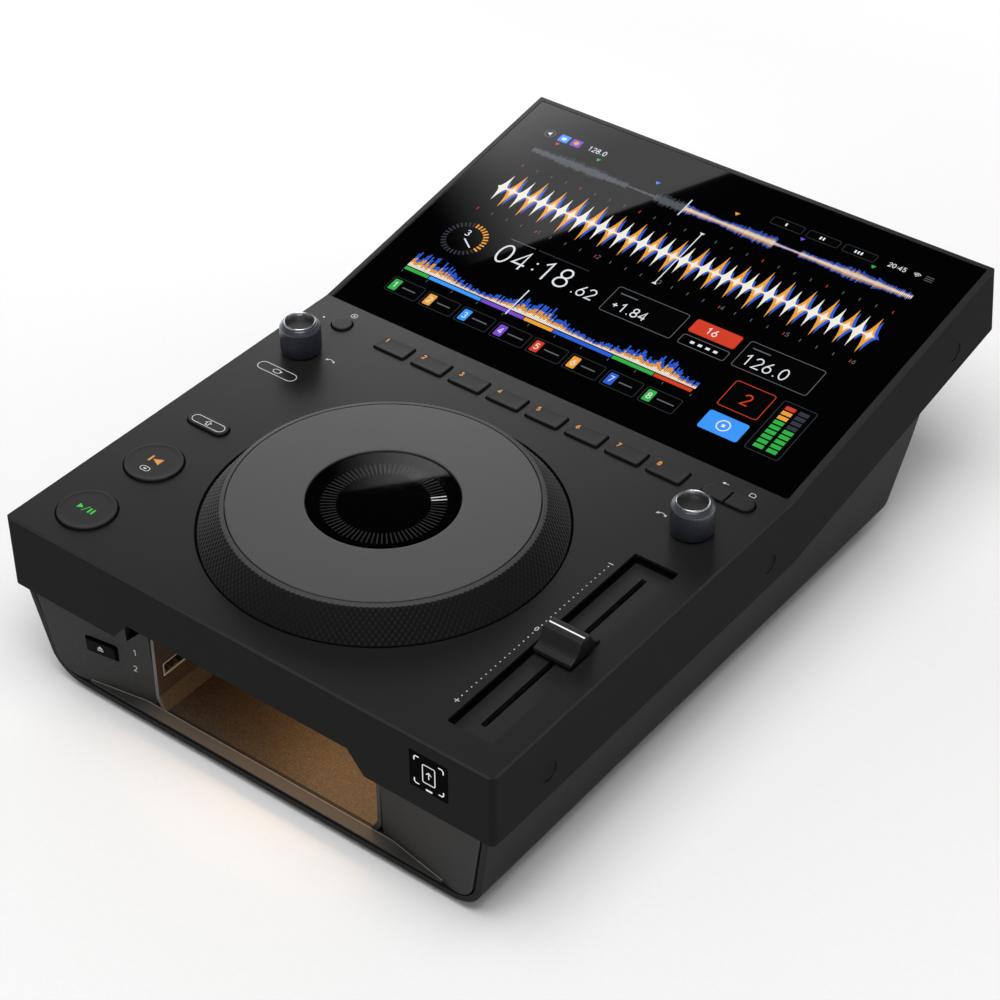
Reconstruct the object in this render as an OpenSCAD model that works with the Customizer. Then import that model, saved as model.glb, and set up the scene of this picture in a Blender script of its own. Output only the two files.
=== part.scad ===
// Tabletop media player for mixing music: a flat control deck with a jog wheel, a tilted
// touch screen behind it, and a lower tray whose front opens into a lit bay for a USB drive.
// Millimetres. +X is the player's right, +Y runs from the front edge to the back, +Z is up.
// The origin is on the surface that the feet stand on, below the middle of the outline.

/* [Top cover] */
// Width of the whole player
body_w = 250; // [240:1:280]
// Front edge to the fold where the screen starts
fold_y = 201; // [201:1:215]
// Length of the screen part, measured up its slope
screen_len = 165; // [163:1:180]
// Tilt of the screen above the deck, in degrees
screen_tilt = 10; // [8:0.5:12]
// Height of the cover's outside walls
cover_h = 35; // [34:0.5:40]
// Thickness of the deck plate and of the side walls
deck_t = 3; // [2.5:0.1:3.2]
// Thickness of the frame under the screen glass
frame_t = 4; // [3.6:0.1:5]
// Thickness of the front wall
front_t = 2.5; // [2:0.1:2.6]
// Width of the inward rim that the tray meets
rim_w = 8.5; // [8:0.1:10]
// Thickness of the inward rim
rim_t = 3; // [2:0.1:4]
// Chamfer along the top edges
edge_c = 0.8; // [0.4:0.1:1.2]
// Radius of the upright corners
corner_r = 3; // [2:0.5:5]

/* [Tray] */
// Setback of the tray's sides from the cover's sides
tray_inset = 4; // [3:0.5:6]
// Height of the tray below the cover
tray_h = 48.5; // [48.5:0.5:56]
// Slope of the tray's sides from upright, in degrees
tray_taper = 10.2; // [6:0.2:12]
// Radius of the long lower corners
tray_r = 16; // [12:1:20]
// Sheet thickness of the tray
tray_t = 3; // [2:0.1:3.2]
// Setback of the tray's front edge at the top
tray_front = 2.9; // [2.6:0.1:4]
// Lean of the tray's front and back edges from upright, in degrees
tray_lean = 4.7; // [2:0.1:6]
// Distance from the cover's front edge to the tray's back edge
tray_back = 308; // [300:1:312]

/* [Front bay] */
// Half width of the bay opening
bay_half_w = 60.5; // [56:0.5:62]
// Depth of the bay from its mouth
bay_depth = 68; // [50:1:74]
// Height of the bay, floor to ceiling
bay_h = 39.5; // [34:0.5:40]
// Wall thickness of the bay
bay_t = 1.8; // [1.4:0.1:2.2]
// Distance from the cover's front edge back to the bay's mouth
mouth_y = 12; // [11:0.5:16]
// Slope of the fascia's wings towards the bay, in degrees
wing_slope = 8.25; // [6:0.25:8.5]
// Lean of the wings from upright, in degrees
wing_lean = 2; // [0:0.5:3]
// Thickness of the front fascia
fascia_t = 2.2; // [1.8:0.1:2.6]
// Gap between the fascia and the tray
fascia_gap = 0.8; // [0.4:0.1:1.2]

/* [Jog wheel] */
// Distance from the front edge to the jog wheel's axis
jog_y = 90.4; // [88:0.2:94]
// Radius of the opening in the deck
jog_well_r = 76.6; // [75:0.1:78]
// Gap between the wheel and the opening
jog_gap = 1; // [0.6:0.1:1.6]
// Height of the wheel's flat top above the deck
jog_h = 12; // [9:0.5:15]
// Radius at the top of the gripped cone
jog_cone_r = 66.4; // [64:0.2:68]
// Radius of the top plate
jog_plate_r = 63.5; // [60:0.1:64]
// Radius of the fixed display in the middle
jog_display_r = 31; // [28:0.5:34]
// Radius of the fixed post that carries the bearing
post_r = 8; // [6:0.5:9]
// Number of grip ribs around the cone
jog_ribs = 90; // [30:1:96]

/* [Tempo fader] */
// Distance from the right side to the fader's middle
fader_inset = 22.3; // [21:0.1:24]
// Distance from the front edge to the fader's middle
fader_y = 75; // [74:0.5:80]
// Travel of the fader cap, end to end
fader_travel = 100; // [60:1:100]
// Width of the fader's trough
trough_w = 21; // [19.6:0.1:22]
// Length of the fader's trough
trough_len = 121; // [120.5:0.5:124]
// Width of the fader cap
cap_w = 18; // [14:0.5:18.4]
// Length of the fader cap along its travel
cap_len = 17.5; // [14:0.5:19]
// Height of the fader cap above the deck
cap_h = 7.7; // [6:0.1:10]

/* [Buttons] */
// Height of the button tops above the deck
button_h = 1.0; // [0.6:0.1:1.4]
// Travel of every button
button_travel = 0.8; // [0.4:0.1:0.9]
// Gap around every button
button_gap = 0.45; // [0.3:0.05:0.6]
// Radius of the play and cue openings
play_r = 12.9; // [11:0.1:13.4]
// Distance from the left side to the middle of the play and cue buttons
play_inset = 24.7; // [24:0.1:26]
// Distance from the front edge to the play button
play_y = 22.5; // [21:0.5:24]
// Distance from the front edge to the cue button
cue_y = 61.9; // [60:0.5:64]
// Width of a performance pad's opening
pad_w = 17.4; // [15:0.1:18]
// Depth of a performance pad's opening
pad_d = 10.2; // [8:0.1:10.4]
// Spacing of the performance pads
pad_pitch = 20.86; // [20.5:0.02:21.2]
// Distance from the front edge to the row of pads
pad_y = 186.4; // [186:0.1:187]
// Number of performance pads
pad_count = 8; // [8:1:8]

/* [Knobs] */
// Distance of the left knob from the left side, and of the right knob from the right side
knob_inset = [19.9, 23];
// Distance from the front edge to the knobs
knob_y = 160.8; // [160:0.1:162]
// Outer radius of a knob
knob_r = 9.2; // [8:0.1:9.6]
// Height of a knob's top above the deck
knob_h = 15; // [12:0.5:18]
// Radius of an encoder shaft
shaft_r = 3; // [2.5:0.1:3.2]

/* [Feet] */
// Height of the feet
foot_h = 4; // [3:0.5:6]
// Radius of the feet
foot_r = 9; // [7:0.5:11]

/* [Hidden] */
$fn = 64;
eps = 0.01;
run_fit = 0.05;
seat_gap = 0.3;

tilt_tan = tan(screen_tilt / 2);
overall_d = fold_y + screen_len * cos(screen_tilt) + cover_h * sin(screen_tilt);
front_y = -overall_d / 2;
deck_z = foot_h + tray_h + cover_h;
half_w = body_w / 2;
tray_half_w = half_w - tray_inset;
play_x = play_inset - half_w;
fader_x = half_w - fader_inset;
knob_x = [knob_inset[0] - half_w, half_w - knob_inset[1]];
frame_rim = 3;

// Board and switches under the deck
board_z = -14;
board_t = 1.6;
board_half_w = half_w - 9;
switch_top = board_z + 5;
jog_bay_r = 84;

// Jog wheel stack, heights above the deck
rim_r = jog_well_r - jog_gap;
base_z = -deck_t;
base_t = 3;
hub_r = 18;
hub_bore = 14;
web_z = 3;
plate_t = 2.5;
plate_z = jog_h - plate_t;
flange_r = 58;
disc_z = -0.4;
disc_t = 1;
disc_r = 40;

// Screen window, in the tilted frame
glass_t = 2;
glass_half_w = half_w - frame_rim;
glass_len = screen_len - frame_rim;
lcd_w = 2 * glass_half_w - 18;
lcd_d = glass_len - 16;
lcd_t = 6;
lcd_s = 9;

// Tray outline
tray_floor = -cover_h - tray_h;
taper_k = tan(tray_taper);
bay_floor = -78;
bay_ceiling = bay_floor + bay_h;
lean_k = tan(tray_lean);
wing_k = tan(wing_slope);
wing_mid_z = -cover_h - tray_h / 2 + 2;

// Fader
fader_depth = 9;
slot_w = 2.6;
stem_w = 1.4;
stem_len = 4;
cap_base = -1;

cover_color = [0.16, 0.16, 0.165];
tray_color = [0.2, 0.2, 0.205];
key_color = [0.13, 0.13, 0.135];
metal_color = [0.6, 0.6, 0.62];
board_color = [0.1, 0.3, 0.16];

// A point of the screen frame (s up the slope, w out of the glass) as deck [y, z].
function slope_pt(s, w) = [fold_y + s * cos(screen_tilt) - w * sin(screen_tilt),
                           s * sin(screen_tilt) + w * cos(screen_tilt)];

// Deck frame: y from the front edge, z from the deck's top face.
module on_deck() {
    translate([0, front_y, deck_z]) children();
}

// Screen frame: y up the slope from the fold, z out of the glass.
module on_screen() {
    on_deck() translate([0, fold_y, 0]) rotate([screen_tilt, 0, 0]) children();
}

// Profile drawn in y and z, extruded across the width.
module across(w) {
    rotate([90, 0, 90]) translate([0, 0, -w / 2]) linear_extrude(w) children();
}

// Profile drawn in x and z, extruded from y = a to y = b.
module along(a, b) {
    translate([0, b, 0]) rotate([90, 0, 0]) linear_extrude(b - a) children();
}

module rounded_rect(w, d, r) {
    square([w - 2 * r, d], center = true);
    square([w, d - 2 * r], center = true);
    for (x = [-1, 1], y = [-1, 1]) translate([x * (w / 2 - r), y * (d / 2 - r)]) circle(r);
}

module tube(r_out, r_in, h) {
    difference() {
        cylinder(r = r_out, h = h);
        translate([0, 0, -1]) cylinder(r = r_in, h = h + 2);
    }
}

// ---- Top cover: one moulding with the deck, the side bands and the screen frame ----

// Side view of the outside of the cover.
module cover_side() {
    polygon([[0, -cover_h], [0, -edge_c], [edge_c, 0], [fold_y, 0],
             slope_pt(screen_len - edge_c, 0), slope_pt(screen_len, -edge_c),
             slope_pt(screen_len, -cover_h), [fold_y + cover_h * tilt_tan, -cover_h]]);
}

// Side view of the hollow, down to the depth given.
module hollow_side(low) {
    polygon([[front_t, -low], [front_t, -deck_t], [fold_y - 2, -deck_t],
             [fold_y + frame_t * tilt_tan, -frame_t],
             slope_pt(screen_len - deck_t, -frame_t), slope_pt(screen_len - deck_t, -low),
             [fold_y + low * tilt_tan, -low]]);
}

// Front view of the band; the slants of its edge chamfers run on past the top.
module band_front(h) {
    past = 4;
    in = half_w - edge_c - past;
    polygon([[-half_w, -h], [-half_w, -edge_c], [-in, past], [in, past],
             [half_w, -edge_c], [half_w, -h]]);
}

module cover_outside() {
    intersection() {
        across(body_w) cover_side();
        union() {
            intersection() {
                along(-1, fold_y + 4) band_front(2 * cover_h);
                translate([0, 60 + fold_y / 2, -2 * cover_h])
                    linear_extrude(3 * cover_h) rounded_rect(body_w, fold_y + 120, corner_r);
            }
            translate([0, fold_y, 0]) rotate([screen_tilt, 0, 0]) intersection() {
                along(-20, screen_len + 1) band_front(2 * cover_h);
                translate([0, screen_len / 2 - 60, -2 * cover_h])
                    linear_extrude(3 * cover_h)
                        rounded_rect(body_w, screen_len + 120, corner_r);
            }
        }
    }
}

// Openings for keys, knobs, jog wheel and fader, drawn flat on the deck.
module deck_openings() {
    translate([0, jog_y]) circle(jog_well_r, $fn = 128);
    translate([play_x, play_y]) circle(play_r);
    translate([play_x, cue_y]) circle(play_r);
    translate([play_x, shift_y]) pill(shift_w, shift_d);
    translate([delete_x, delete_y]) circle(delete_r);
    for (i = [1:pad_count]) translate([pad_x(i), pad_y]) rounded_rect(pad_w, pad_d, 1.5);
    translate([pair_x, pair_y]) pill(pair_w, pair_d);
    for (x = knob_x) translate([x, knob_y]) circle(shaft_r + 2.5);
    translate([fader_x, fader_y]) rounded_rect(trough_w, trough_len, 1);
}

module pill(w, d) {
    square([w - d, d], center = true);
    for (x = [-1, 1]) translate([x * (w - d) / 2, 0]) circle(d / 2);
}

shift_y = 95.3;
shift_w = 21.4;
shift_d = 8.4;
delete_x = 21.7 - half_w;
delete_y = pad_y;
delete_r = 5;
pair_x = half_w - 22.6;
pair_y = pad_y + 0.6;
pair_w = 25;
pair_d = 9;
pair_split = 0.8;
function pad_x(i) = (i - (pad_count + 1) / 2) * pad_pitch;

boss_r = 3.5;
boss_inset = 13;
boss_at = [[boss_inset - half_w, 8], [60, 8], [boss_inset - half_w, 126],
           [half_w - 11, 145], [-50, 170], [50, 170]];

// Shallow arch in the front band, above the bay.
module band_arch() {
    along(-1, front_t + 1)
        polygon([[-69, -cover_h - 1], [-68, -cover_h], [-60, -cover_h + 10],
                 [55, -cover_h + 10], [63, -cover_h], [64, -cover_h - 1]]);
}

tap_w = 18.4;
tap_x = half_w - 30.1;
tap_z = -15.8;
tap_t = 1.2;
plug_r = 4.4;
plug_t = 1.2;
plug_drop = 22.4;
plug_spots = [34.5, fold_y - 15.5];
plug_slope = 130;

// Places of the round plugs, turned to face out of the side at +X.
module at_plugs() {
    for (y = plug_spots) translate([half_w, y, -plug_drop]) rotate([0, 90, 0]) children();
    translate([0, fold_y, 0]) rotate([screen_tilt, 0, 0])
        translate([half_w, plug_slope, -plug_drop]) rotate([0, 90, 0]) children();
}

module both_sides() {
    children();
    mirror([1, 0, 0]) children();
}

module top_cover() {
    color(cover_color) on_deck() {
        difference() {
            cover_outside();
            across(body_w - 2 * deck_t) hollow_side(cover_h - rim_t);
            across(body_w - 2 * rim_w) hollow_side(cover_h + 2);
            translate([0, 0, -deck_t - 1]) linear_extrude(deck_t + 2) deck_openings();
            translate([0, fold_y, 0]) rotate([screen_tilt, 0, 0]) {
                translate([-glass_half_w, 0, -glass_t])
                    cube([2 * glass_half_w, glass_len, glass_t + 5]);
                translate([-lcd_w / 2 + 2, lcd_s + 2, -frame_t - 1])
                    cube([lcd_w - 4, lcd_d - 4, frame_t]);
            }
            band_arch();
            translate([tap_x - tap_w / 2, -1, tap_z - tap_w / 2])
                cube([tap_w, 1 + tap_t, tap_w]);
            both_sides() at_plugs() translate([0, 0, -plug_t]) cylinder(r = plug_r, h = 3);
        }
        for (p = boss_at) translate([p[0], p[1], board_z]) tube(boss_r, 1.2, -deck_t - board_z);
    }
}

// Screws that hold the control board to the bosses.
module board_screws() {
    color(metal_color) on_deck() for (p = boss_at) translate([p[0], p[1], board_z - board_t]) {
        translate([0, 0, -1.4]) cylinder(r = 2.4, h = 1.4);
        cylinder(r = 1.1, h = board_t + 5);
    }
}

module screen_back_cover() {
    t = 2.4;
    s0 = 92;
    w = body_w - 2 * rim_w - 2 * seat_gap;
    len = screen_len - deck_t - seat_gap - s0;
    color(tray_color) on_screen() difference() {
        translate([-w / 2, s0, -cover_h]) cube([w, len, t]);
        for (x = [-6:6]) translate([x * 12 - 1.5, s0 + 30, -cover_h - 1]) cube([3, 24, t + 2]);
    }
}

module screen_glass() {
    color([0.03, 0.03, 0.035]) on_screen()
        translate([-glass_half_w + 0.35, 0.3, -glass_t])
            cube([2 * glass_half_w - 0.7, glass_len - 0.65, glass_t]);
}

module screen_module() {
    color(metal_color) on_screen() {
        translate([-lcd_w / 2, lcd_s, -frame_t - lcd_t]) cube([lcd_w, lcd_d, lcd_t]);
        translate([-40, lcd_s + 30, -frame_t - lcd_t - 3]) cube([80, 30, 3]);
    }
}

module tap_window() {
    color("black") on_deck()
        translate([tap_x - tap_w / 2 + 0.15, 0.1, tap_z - tap_w / 2 + 0.15])
            cube([tap_w - 0.3, tap_t - 0.1, tap_w - 0.3]);
}

module side_plugs() {
    color(key_color) on_deck() both_sides() at_plugs()
        translate([0, 0, -plug_t]) cylinder(r = plug_r - 0.2, h = plug_t - 0.3);
}

// ---- Tray: folded lower shell with tapered sides and large lower corners ----

// Front view of the tray's outline, moved inwards by the amount given.
module tray_outline(inset) {
    w_top = tray_half_w - inset / cos(tray_taper) + 20 * taper_k;
    z_top = 20 - cover_h;
    z_low = tray_floor + inset;
    r = tray_r - inset;
    // Centre of the lower corner's circle
    cz = z_low + r;
    cx = w_top - (z_top - cz) * taper_k - r / cos(tray_taper);
    // Tangent point on the sloping side
    tx = cx + r * cos(tray_taper);
    tz = cz - r * sin(tray_taper);
    polygon([[-w_top, z_top], [-tx, tz], [-cx, cz], [-cx, z_low], [cx, z_low], [cx, cz],
             [tx, tz], [w_top, z_top]]);
    for (x = [-cx, cx]) translate([x, cz]) circle(r);
}

// Side view of the tray: leaning ends, and a top edge that follows the cover.
module tray_side() {
    z = -cover_h;
    rise = slope_pt(110, -cover_h);
    polygon([[tray_front, z], [tray_front + tray_h * lean_k, tray_floor],
             [tray_back - tray_h * lean_k, tray_floor], [tray_back, z],
             [tray_back, rise[1] - (rise[0] - tray_back) * tan(screen_tilt)],
             [fold_y + cover_h * tilt_tan, z]]);
}

screw_x = tray_half_w - 31;
screw_at = [for (x = [-screw_x, screw_x], y = [17, 150, tray_back - 13]) [x, y]];
foot_x = tray_half_w - foot_r - 24;
foot_at = [for (x = [-foot_x, foot_x], y = [30, tray_back - 26]) [x, y]];

module tray() {
    color(tray_color) on_deck() difference() {
        intersection() {
            along(0, tray_back + 1) difference() {
                tray_outline(0);
                tray_outline(tray_t);
            }
            across(body_w) tray_side();
        }
        // Vent slots under the boards
        for (x = [-5:5]) translate([x * 9 - 1.5, 236, tray_floor - 1]) cube([3, 34, tray_t + 2]);
        for (p = screw_at) translate([p[0], p[1], tray_floor - 1]) cylinder(r = 1.7, h = 6);
    }
}

module tray_screws() {
    color(metal_color) on_deck()
        for (p = screw_at) translate([p[0], p[1], tray_floor - 1.4]) {
            cylinder(r = 2.8, h = 1.4);
            cylinder(r = 1.4, h = 1.4 + tray_t + 2);
        }
}

module feet() {
    color("black") on_deck()
        for (p = foot_at) translate([p[0], p[1], tray_floor - foot_h]) {
            cylinder(r1 = foot_r - 1, r2 = foot_r, h = 1);
            translate([0, 0, 1]) cylinder(r = foot_r, h = foot_h - 1);
        }
}

// ---- Front fascia: two wings that slope back to the mouth of the lit bay ----

// Frame on the bay's mouth, leaning back a little at the bottom as the wings do.
module on_mouth() {
    on_deck() translate([0, mouth_y, wing_mid_z]) rotate([wing_lean, 0, 0]) children();
}

eject_x = bay_half_w + 25.1;
eject_z = -56.5;
eject_w = 16.6;
eject_h = 8.8;
key_side_gap = 1;
key_front = 1.2;
pocket_x = [-bay_half_w - 11.5, -bay_half_w - 1.9];
pocket_low = -46.6;

// Frame on the left wing at the eject button: z points inwards through the wing.
module at_eject() {
    on_mouth() translate([-eject_x, -(eject_x - bay_half_w) * wing_k, eject_z - wing_mid_z])
        rotate([0, 0, wing_slope]) rotate([-90, 0, 0]) children();
}

// Right wing, a slanted plate as tall as the tray.
module wing() {
    reach = half_w - bay_half_w;
    translate([bay_half_w, 0, -tray_h]) linear_extrude(2 * tray_h)
        polygon([[0, 0], [reach, -reach * wing_k], [reach, fascia_t - reach * wing_k],
                 [0, fascia_t]]);
}

// Lip that runs from the tray's floor up to the floor of the bay.
module front_lip() {
    front = tray_front + (tray_h - 4) * lean_k + 0.6;
    low = tray_floor + tray_t + fascia_gap;
    across(2 * (tray_half_w - 27)) polygon([[front, low], [front, low + 0.7], [mouth_y, bay_floor],
                            [mouth_y + 1.5, bay_floor], [mouth_y + 1.5, low]]);
}

module front_fascia() {
    header_z = bay_ceiling + bay_t + seat_gap;
    color([0.17, 0.17, 0.175]) difference() {
        union() {
            intersection() {
                on_mouth() both_sides() wing();
                on_deck() along(0, mouth_y + 8) tray_outline(tray_t + fascia_gap);
                on_deck() translate([-half_w, 0, tray_floor])
                    cube([body_w, mouth_y + 8, tray_h - seat_gap]);
            }
            on_deck() translate([-bay_half_w, mouth_y, header_z])
                cube([2 * bay_half_w, fascia_t, -26 - header_z]);
            on_deck() both_sides() translate([bay_half_w - 1, mouth_y - 2.2, -cover_h - 1])
                cube([20, fascia_t + 2, 10]);
            on_deck() front_lip();
        }
        at_eject() linear_extrude(20, center = true) rounded_rect(eject_w, eject_h, 1);
        on_deck() along(0, mouth_y + 8)
            polygon([[pocket_x[0], pocket_low], [pocket_x[1], pocket_low + pocket_x[1]
                     - pocket_x[0]], [pocket_x[1], -29], [pocket_x[0], -29]]);
    }
}

// Key that stands a little proud of the wing and travels square to it.
module eject_button() {
    w = eject_w - 2 * key_side_gap;
    h = eject_h - 2 * key_side_gap;
    color(key_color) at_eject() {
        translate([0, 0, -key_front]) linear_extrude(key_front + fascia_t + seat_gap + 0.5)
            rounded_rect(w, h, 0.8);
        translate([0, 0, fascia_t + seat_gap]) linear_extrude(1.2)
            square([eject_w + 2, eject_h + 1.6], center = true);
        cylinder(r = 1.5, h = 8);
    }
}

port_w = 13.2;
port_h = 5.8;
port_y = 22.8;
port_z = -59.4;
port_len = 16;
small_port = [3.6, 9.2, 11];
small_port_at = [pocket_x[0] + 4.6, mouth_y + 3.2, pocket_low + 11];

// Metal shell of a flat USB socket: mouth at z = 0, body towards -z, tongue in the upper half.
module usb_socket() {
    translate([0, 0, -port_len]) difference() {
        linear_extrude(port_len) square([port_w, port_h], center = true);
        translate([0, 0, 1]) linear_extrude(port_len)
            square([port_w - 0.9, port_h - 0.9], center = true);
    }
    translate([-5.2, 0.5, -port_len + 0.5]) cube([10.4, 1.6, port_len - 2.5]);
}

module at_bay_port() {
    on_deck() translate([-bay_half_w + bay_t, port_y, port_z]) rotate([90, 0, 90]) children();
}

module bay_usb_port() {
    color("silver") at_bay_port() usb_socket();
}

// Upright socket behind the pocket in the left wing.
module front_usb_port() {
    s = small_port;
    color("silver") on_deck() translate(small_port_at) rotate([-90, 0, 0]) {
        difference() {
            linear_extrude(s[2]) square([s[0], s[1]], center = true);
            translate([0, 0, -1]) linear_extrude(s[2] - 1)
                square([s[0] - 0.7, s[1] - 0.7], center = true);
        }
        translate([-0.35, -3.2, 1.2]) cube([0.7, 6.4, s[2] - 2]);
    }
}

// Upright board beside the bay that carries both sockets.
module usb_board() {
    x = -bay_half_w + bay_t - port_len;
    near = small_port_at[0] - small_port[0] / 2;
    color(board_color) on_deck() {
        translate([x - 1.6, mouth_y + 4, tray_floor + tray_t])
            cube([1.6, 48, -tray_floor - tray_t - 31]);
        translate([x, mouth_y + 5, -39]) cube([near - x, 8, 7]);
        translate([x - 4.6, mouth_y + 24, -70]) cube([3, 16, 10]);
    }
}

// Front view of the bay's outline, with slanted lower corners.
module bay_outline(inset) {
    w = bay_half_w - seat_gap - inset;
    low = bay_floor - bay_t + inset;
    cut = [3.6, 6.6];
    polygon([[-w, bay_ceiling + bay_t - inset], [-w, low + cut[1]], [-w + cut[0], low],
             [w - cut[0], low], [w, low + cut[1]], [w, bay_ceiling + bay_t - inset]]);
}

// Open-fronted box of the bay; its front edges show as a pale line.
module bay_liner() {
    back = mouth_y + bay_depth;
    color([0.45, 0.33, 0.18]) on_deck() difference() {
        along(mouth_y, back + bay_t) bay_outline(0);
        along(mouth_y - 1, back) bay_outline(bay_t);
        translate([-half_w, 0, bay_floor - bay_t - 1])
            cube([body_w, mouth_y + 1.8, bay_t + 1]);
        translate([-bay_half_w - 1, port_y - port_w / 2 - 0.2, port_z - port_h / 2 - 0.2])
            cube([6, port_w + 0.4, port_h + 0.4]);
        translate([-light_w / 2 - 0.2, light_y - 0.2, bay_ceiling - 1])
            cube([light_w + 0.4, light_d + 0.4, 1.8]);
    }
}

light_w = 2 * bay_half_w - 37;
light_d = 5;
light_y = 30;

// Light guide let into the bay's ceiling.
module bay_light_bar() {
    color([1, 0.75, 0.35]) on_deck() translate([-light_w / 2, light_y, bay_ceiling])
        cube([light_w, light_d, 0.7]);
}

// ---- Back of the tray ----

panel_y = 298;
panel_t = 2;
jack_z = -62;

module rear_panel() {
    top = slope_pt(0, -cover_h)[1] + (panel_y - slope_pt(0, -cover_h)[0]) * tan(screen_tilt);
    color(tray_color) on_deck() difference() {
        intersection() {
            along(panel_y, panel_y + panel_t) tray_outline(tray_t + 0.2);
            translate([-half_w, 0, tray_floor + tray_t + 0.2])
                cube([body_w, 400, top - seat_gap - tray_floor - tray_t - 0.2]);
        }
        translate([inlet_x, panel_y - 1, jack_z]) cube_y([inlet_w + 0.4, 5, inlet_h + 0.4]);
        translate([switch_x, panel_y - 1, jack_z]) cube_y([13.4, 5, 19.4]);
        translate([lan_x, panel_y - 1, jack_z]) cube_y([16.4, 5, 13.9]);
        for (x = rca_x) translate([x, panel_y - 1, jack_z]) rotate([-90, 0, 0])
            cylinder(r = rca_r + 0.2, h = 5);
        // Lock slot
        translate([lock_x, panel_y - 1, jack_z]) cube_y([7, 5, 4.4]);
        // Vent slots
        for (i = [-8:8]) translate([i * 7, panel_y - 1, -38]) cube_y([2.4, 5, 14]);
        for (p = rear_screw_at) translate([p[0], panel_y - 1, p[1]]) rotate([-90, 0, 0])
            cylinder(r = 1.6, h = 5);
    }
}

// Box centred in x and z that starts at y = 0.
module cube_y(size) {
    translate([-size[0] / 2, 0, -size[2] / 2]) cube(size);
}

inlet_x = 39 - tray_half_w;
inlet_w = 27;
inlet_h = 20;
switch_x = -52;
lan_x = -24;
rca_x = [22, 40, 68];
rca_r = 4.6;
lock_x = 94;
rear_screw_x = tray_half_w - 17;
rear_screw_at = [[-rear_screw_x, -50], [rear_screw_x, -50], [-34, -72], [82, -72]];

module rear_screws() {
    color(metal_color) on_deck() for (p = rear_screw_at)
        translate([p[0], panel_y + panel_t, p[1]]) rotate([90, 0, 0]) {
            translate([0, 0, -1.4]) cylinder(r = 2.7, h = 1.4);
            cylinder(r = 1.3, h = 6);
        }
}

// Mains inlet: a flanged body with an open pocket and three blades.
module power_inlet() {
    depth = 18;
    color("dimgray") on_deck() translate([inlet_x, panel_y, jack_z]) {
        difference() {
            union() {
                translate([0, -depth, 0]) cube_y([inlet_w, depth + panel_t, inlet_h]);
                translate([0, panel_t, 0]) cube_y([inlet_w + 5, 1.6, inlet_h + 4]);
            }
            translate([0, 2 - depth, 0]) cube_y([24, depth + 4, 16]);
        }
        for (p = [[-7, -1.5], [7, -1.5], [0, 2.5]])
            translate([p[0], 1 - depth, p[1]]) cube_y([2, depth - 3, 4]);
    }
}

module power_switch_frame() {
    color("black") on_deck() translate([switch_x, panel_y, jack_z]) difference() {
        union() {
            translate([0, -12, 0]) cube_y([13, 14, 19]);
            translate([0, panel_t, 0]) cube_y([15, 1.4, 21]);
        }
        translate([0, -5, 0]) cube_y([11, 12, 16]);
    }
}

rocker_y = panel_y + panel_t;
rocker_tilt = 8;

// Rocker that turns about a crosswise pin; its lower half stands out at rest.
module power_rocker() {
    color("dimgray") on_deck() translate([switch_x, rocker_y, jack_z]) {
        rotate([rocker_tilt, 0, 0]) across(10) polygon([[-1.6, -7], [-1.6, 7], [1.8, 7],
                                                        [1, 0], [1.8, -7]]);
        rotate([0, 90, 0]) cylinder(r = 1.6, h = 10, center = true);
    }
}

module network_jack() {
    depth = 16;
    color("silver") on_deck() translate([lan_x, panel_y, jack_z]) difference() {
        translate([0, -depth, 0]) cube_y([16, depth + panel_t + 0.6, 13.5]);
        translate([0, -10, -0.5]) cube_y([11.8, 16, 8]);
        translate([0, -10, 4]) cube_y([6, 16, 3]);
    }
}

module audio_jacks() {
    color("gold") on_deck() for (x = rca_x) translate([x, panel_y, jack_z]) rotate([-90, 0, 0]) {
        translate([0, 0, -9]) difference() {
            cylinder(r = rca_r, h = 9 + panel_t + 8);
            translate([0, 0, 6]) cylinder(r = 1.7, h = 30);
        }
    }
}

// ---- Boards inside ----

inner_floor = tray_floor + tray_t;
board_edge = tray_half_w - 21;
main_end = 20;
main_y = 96;
main_len = 180;
main_lift = 4;
supply_x = 30;
supply_y = 176;
supply_len = 104;
supply_lift = 5;

// Main board on four pillars, with the processor's finned cooler.
module main_board() {
    top = inner_floor + main_lift + board_t;
    color(board_color) on_deck() difference() {
        union() {
            translate([-board_edge, main_y, inner_floor + main_lift])
                cube([board_edge + main_end, main_len, board_t]);
            for (x = [6 - board_edge, main_end - 6], y = [6, main_len - 6])
                translate([x, main_y + y, inner_floor]) cylinder(r = 3, h = main_lift);
            translate([-60, main_y + 44, top]) cube([36, 36, 2.4]);
            for (i = [0:6]) translate([-60 + i * 5.6, main_y + 44, top + 2.4])
                cube([2.4, 36, 8]);
            translate([main_end - 34, main_y + 54, top]) cube([16, 22, 1.4]);
            translate([10 - board_edge, main_y + 114, top]) cube([22, 22, 1.4]);
        }
        translate([main_end - 36, main_y + 136, inner_floor]) cube([60, 60, 8]);
    }
}

// Power supply on four pillars: transformer, capacitor and heat sink.
module power_supply() {
    top = inner_floor + supply_lift + board_t;
    color("olive") on_deck() {
        translate([supply_x, supply_y, inner_floor + supply_lift])
            cube([board_edge - supply_x, supply_len, board_t]);
        for (x = [supply_x + 5, board_edge - 5], y = [5, supply_len - 5])
            translate([x, supply_y + y, inner_floor]) cylinder(r = 3, h = supply_lift);
        translate([supply_x + 8, supply_y + 14, top]) cube([26, 30, 20]);
        translate([board_edge - 20, supply_y + 64, top]) cylinder(r = 9, h = 26);
        translate([supply_x + 6, supply_y + 60, top]) cube([4, 34, 24]);
    }
}

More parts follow.
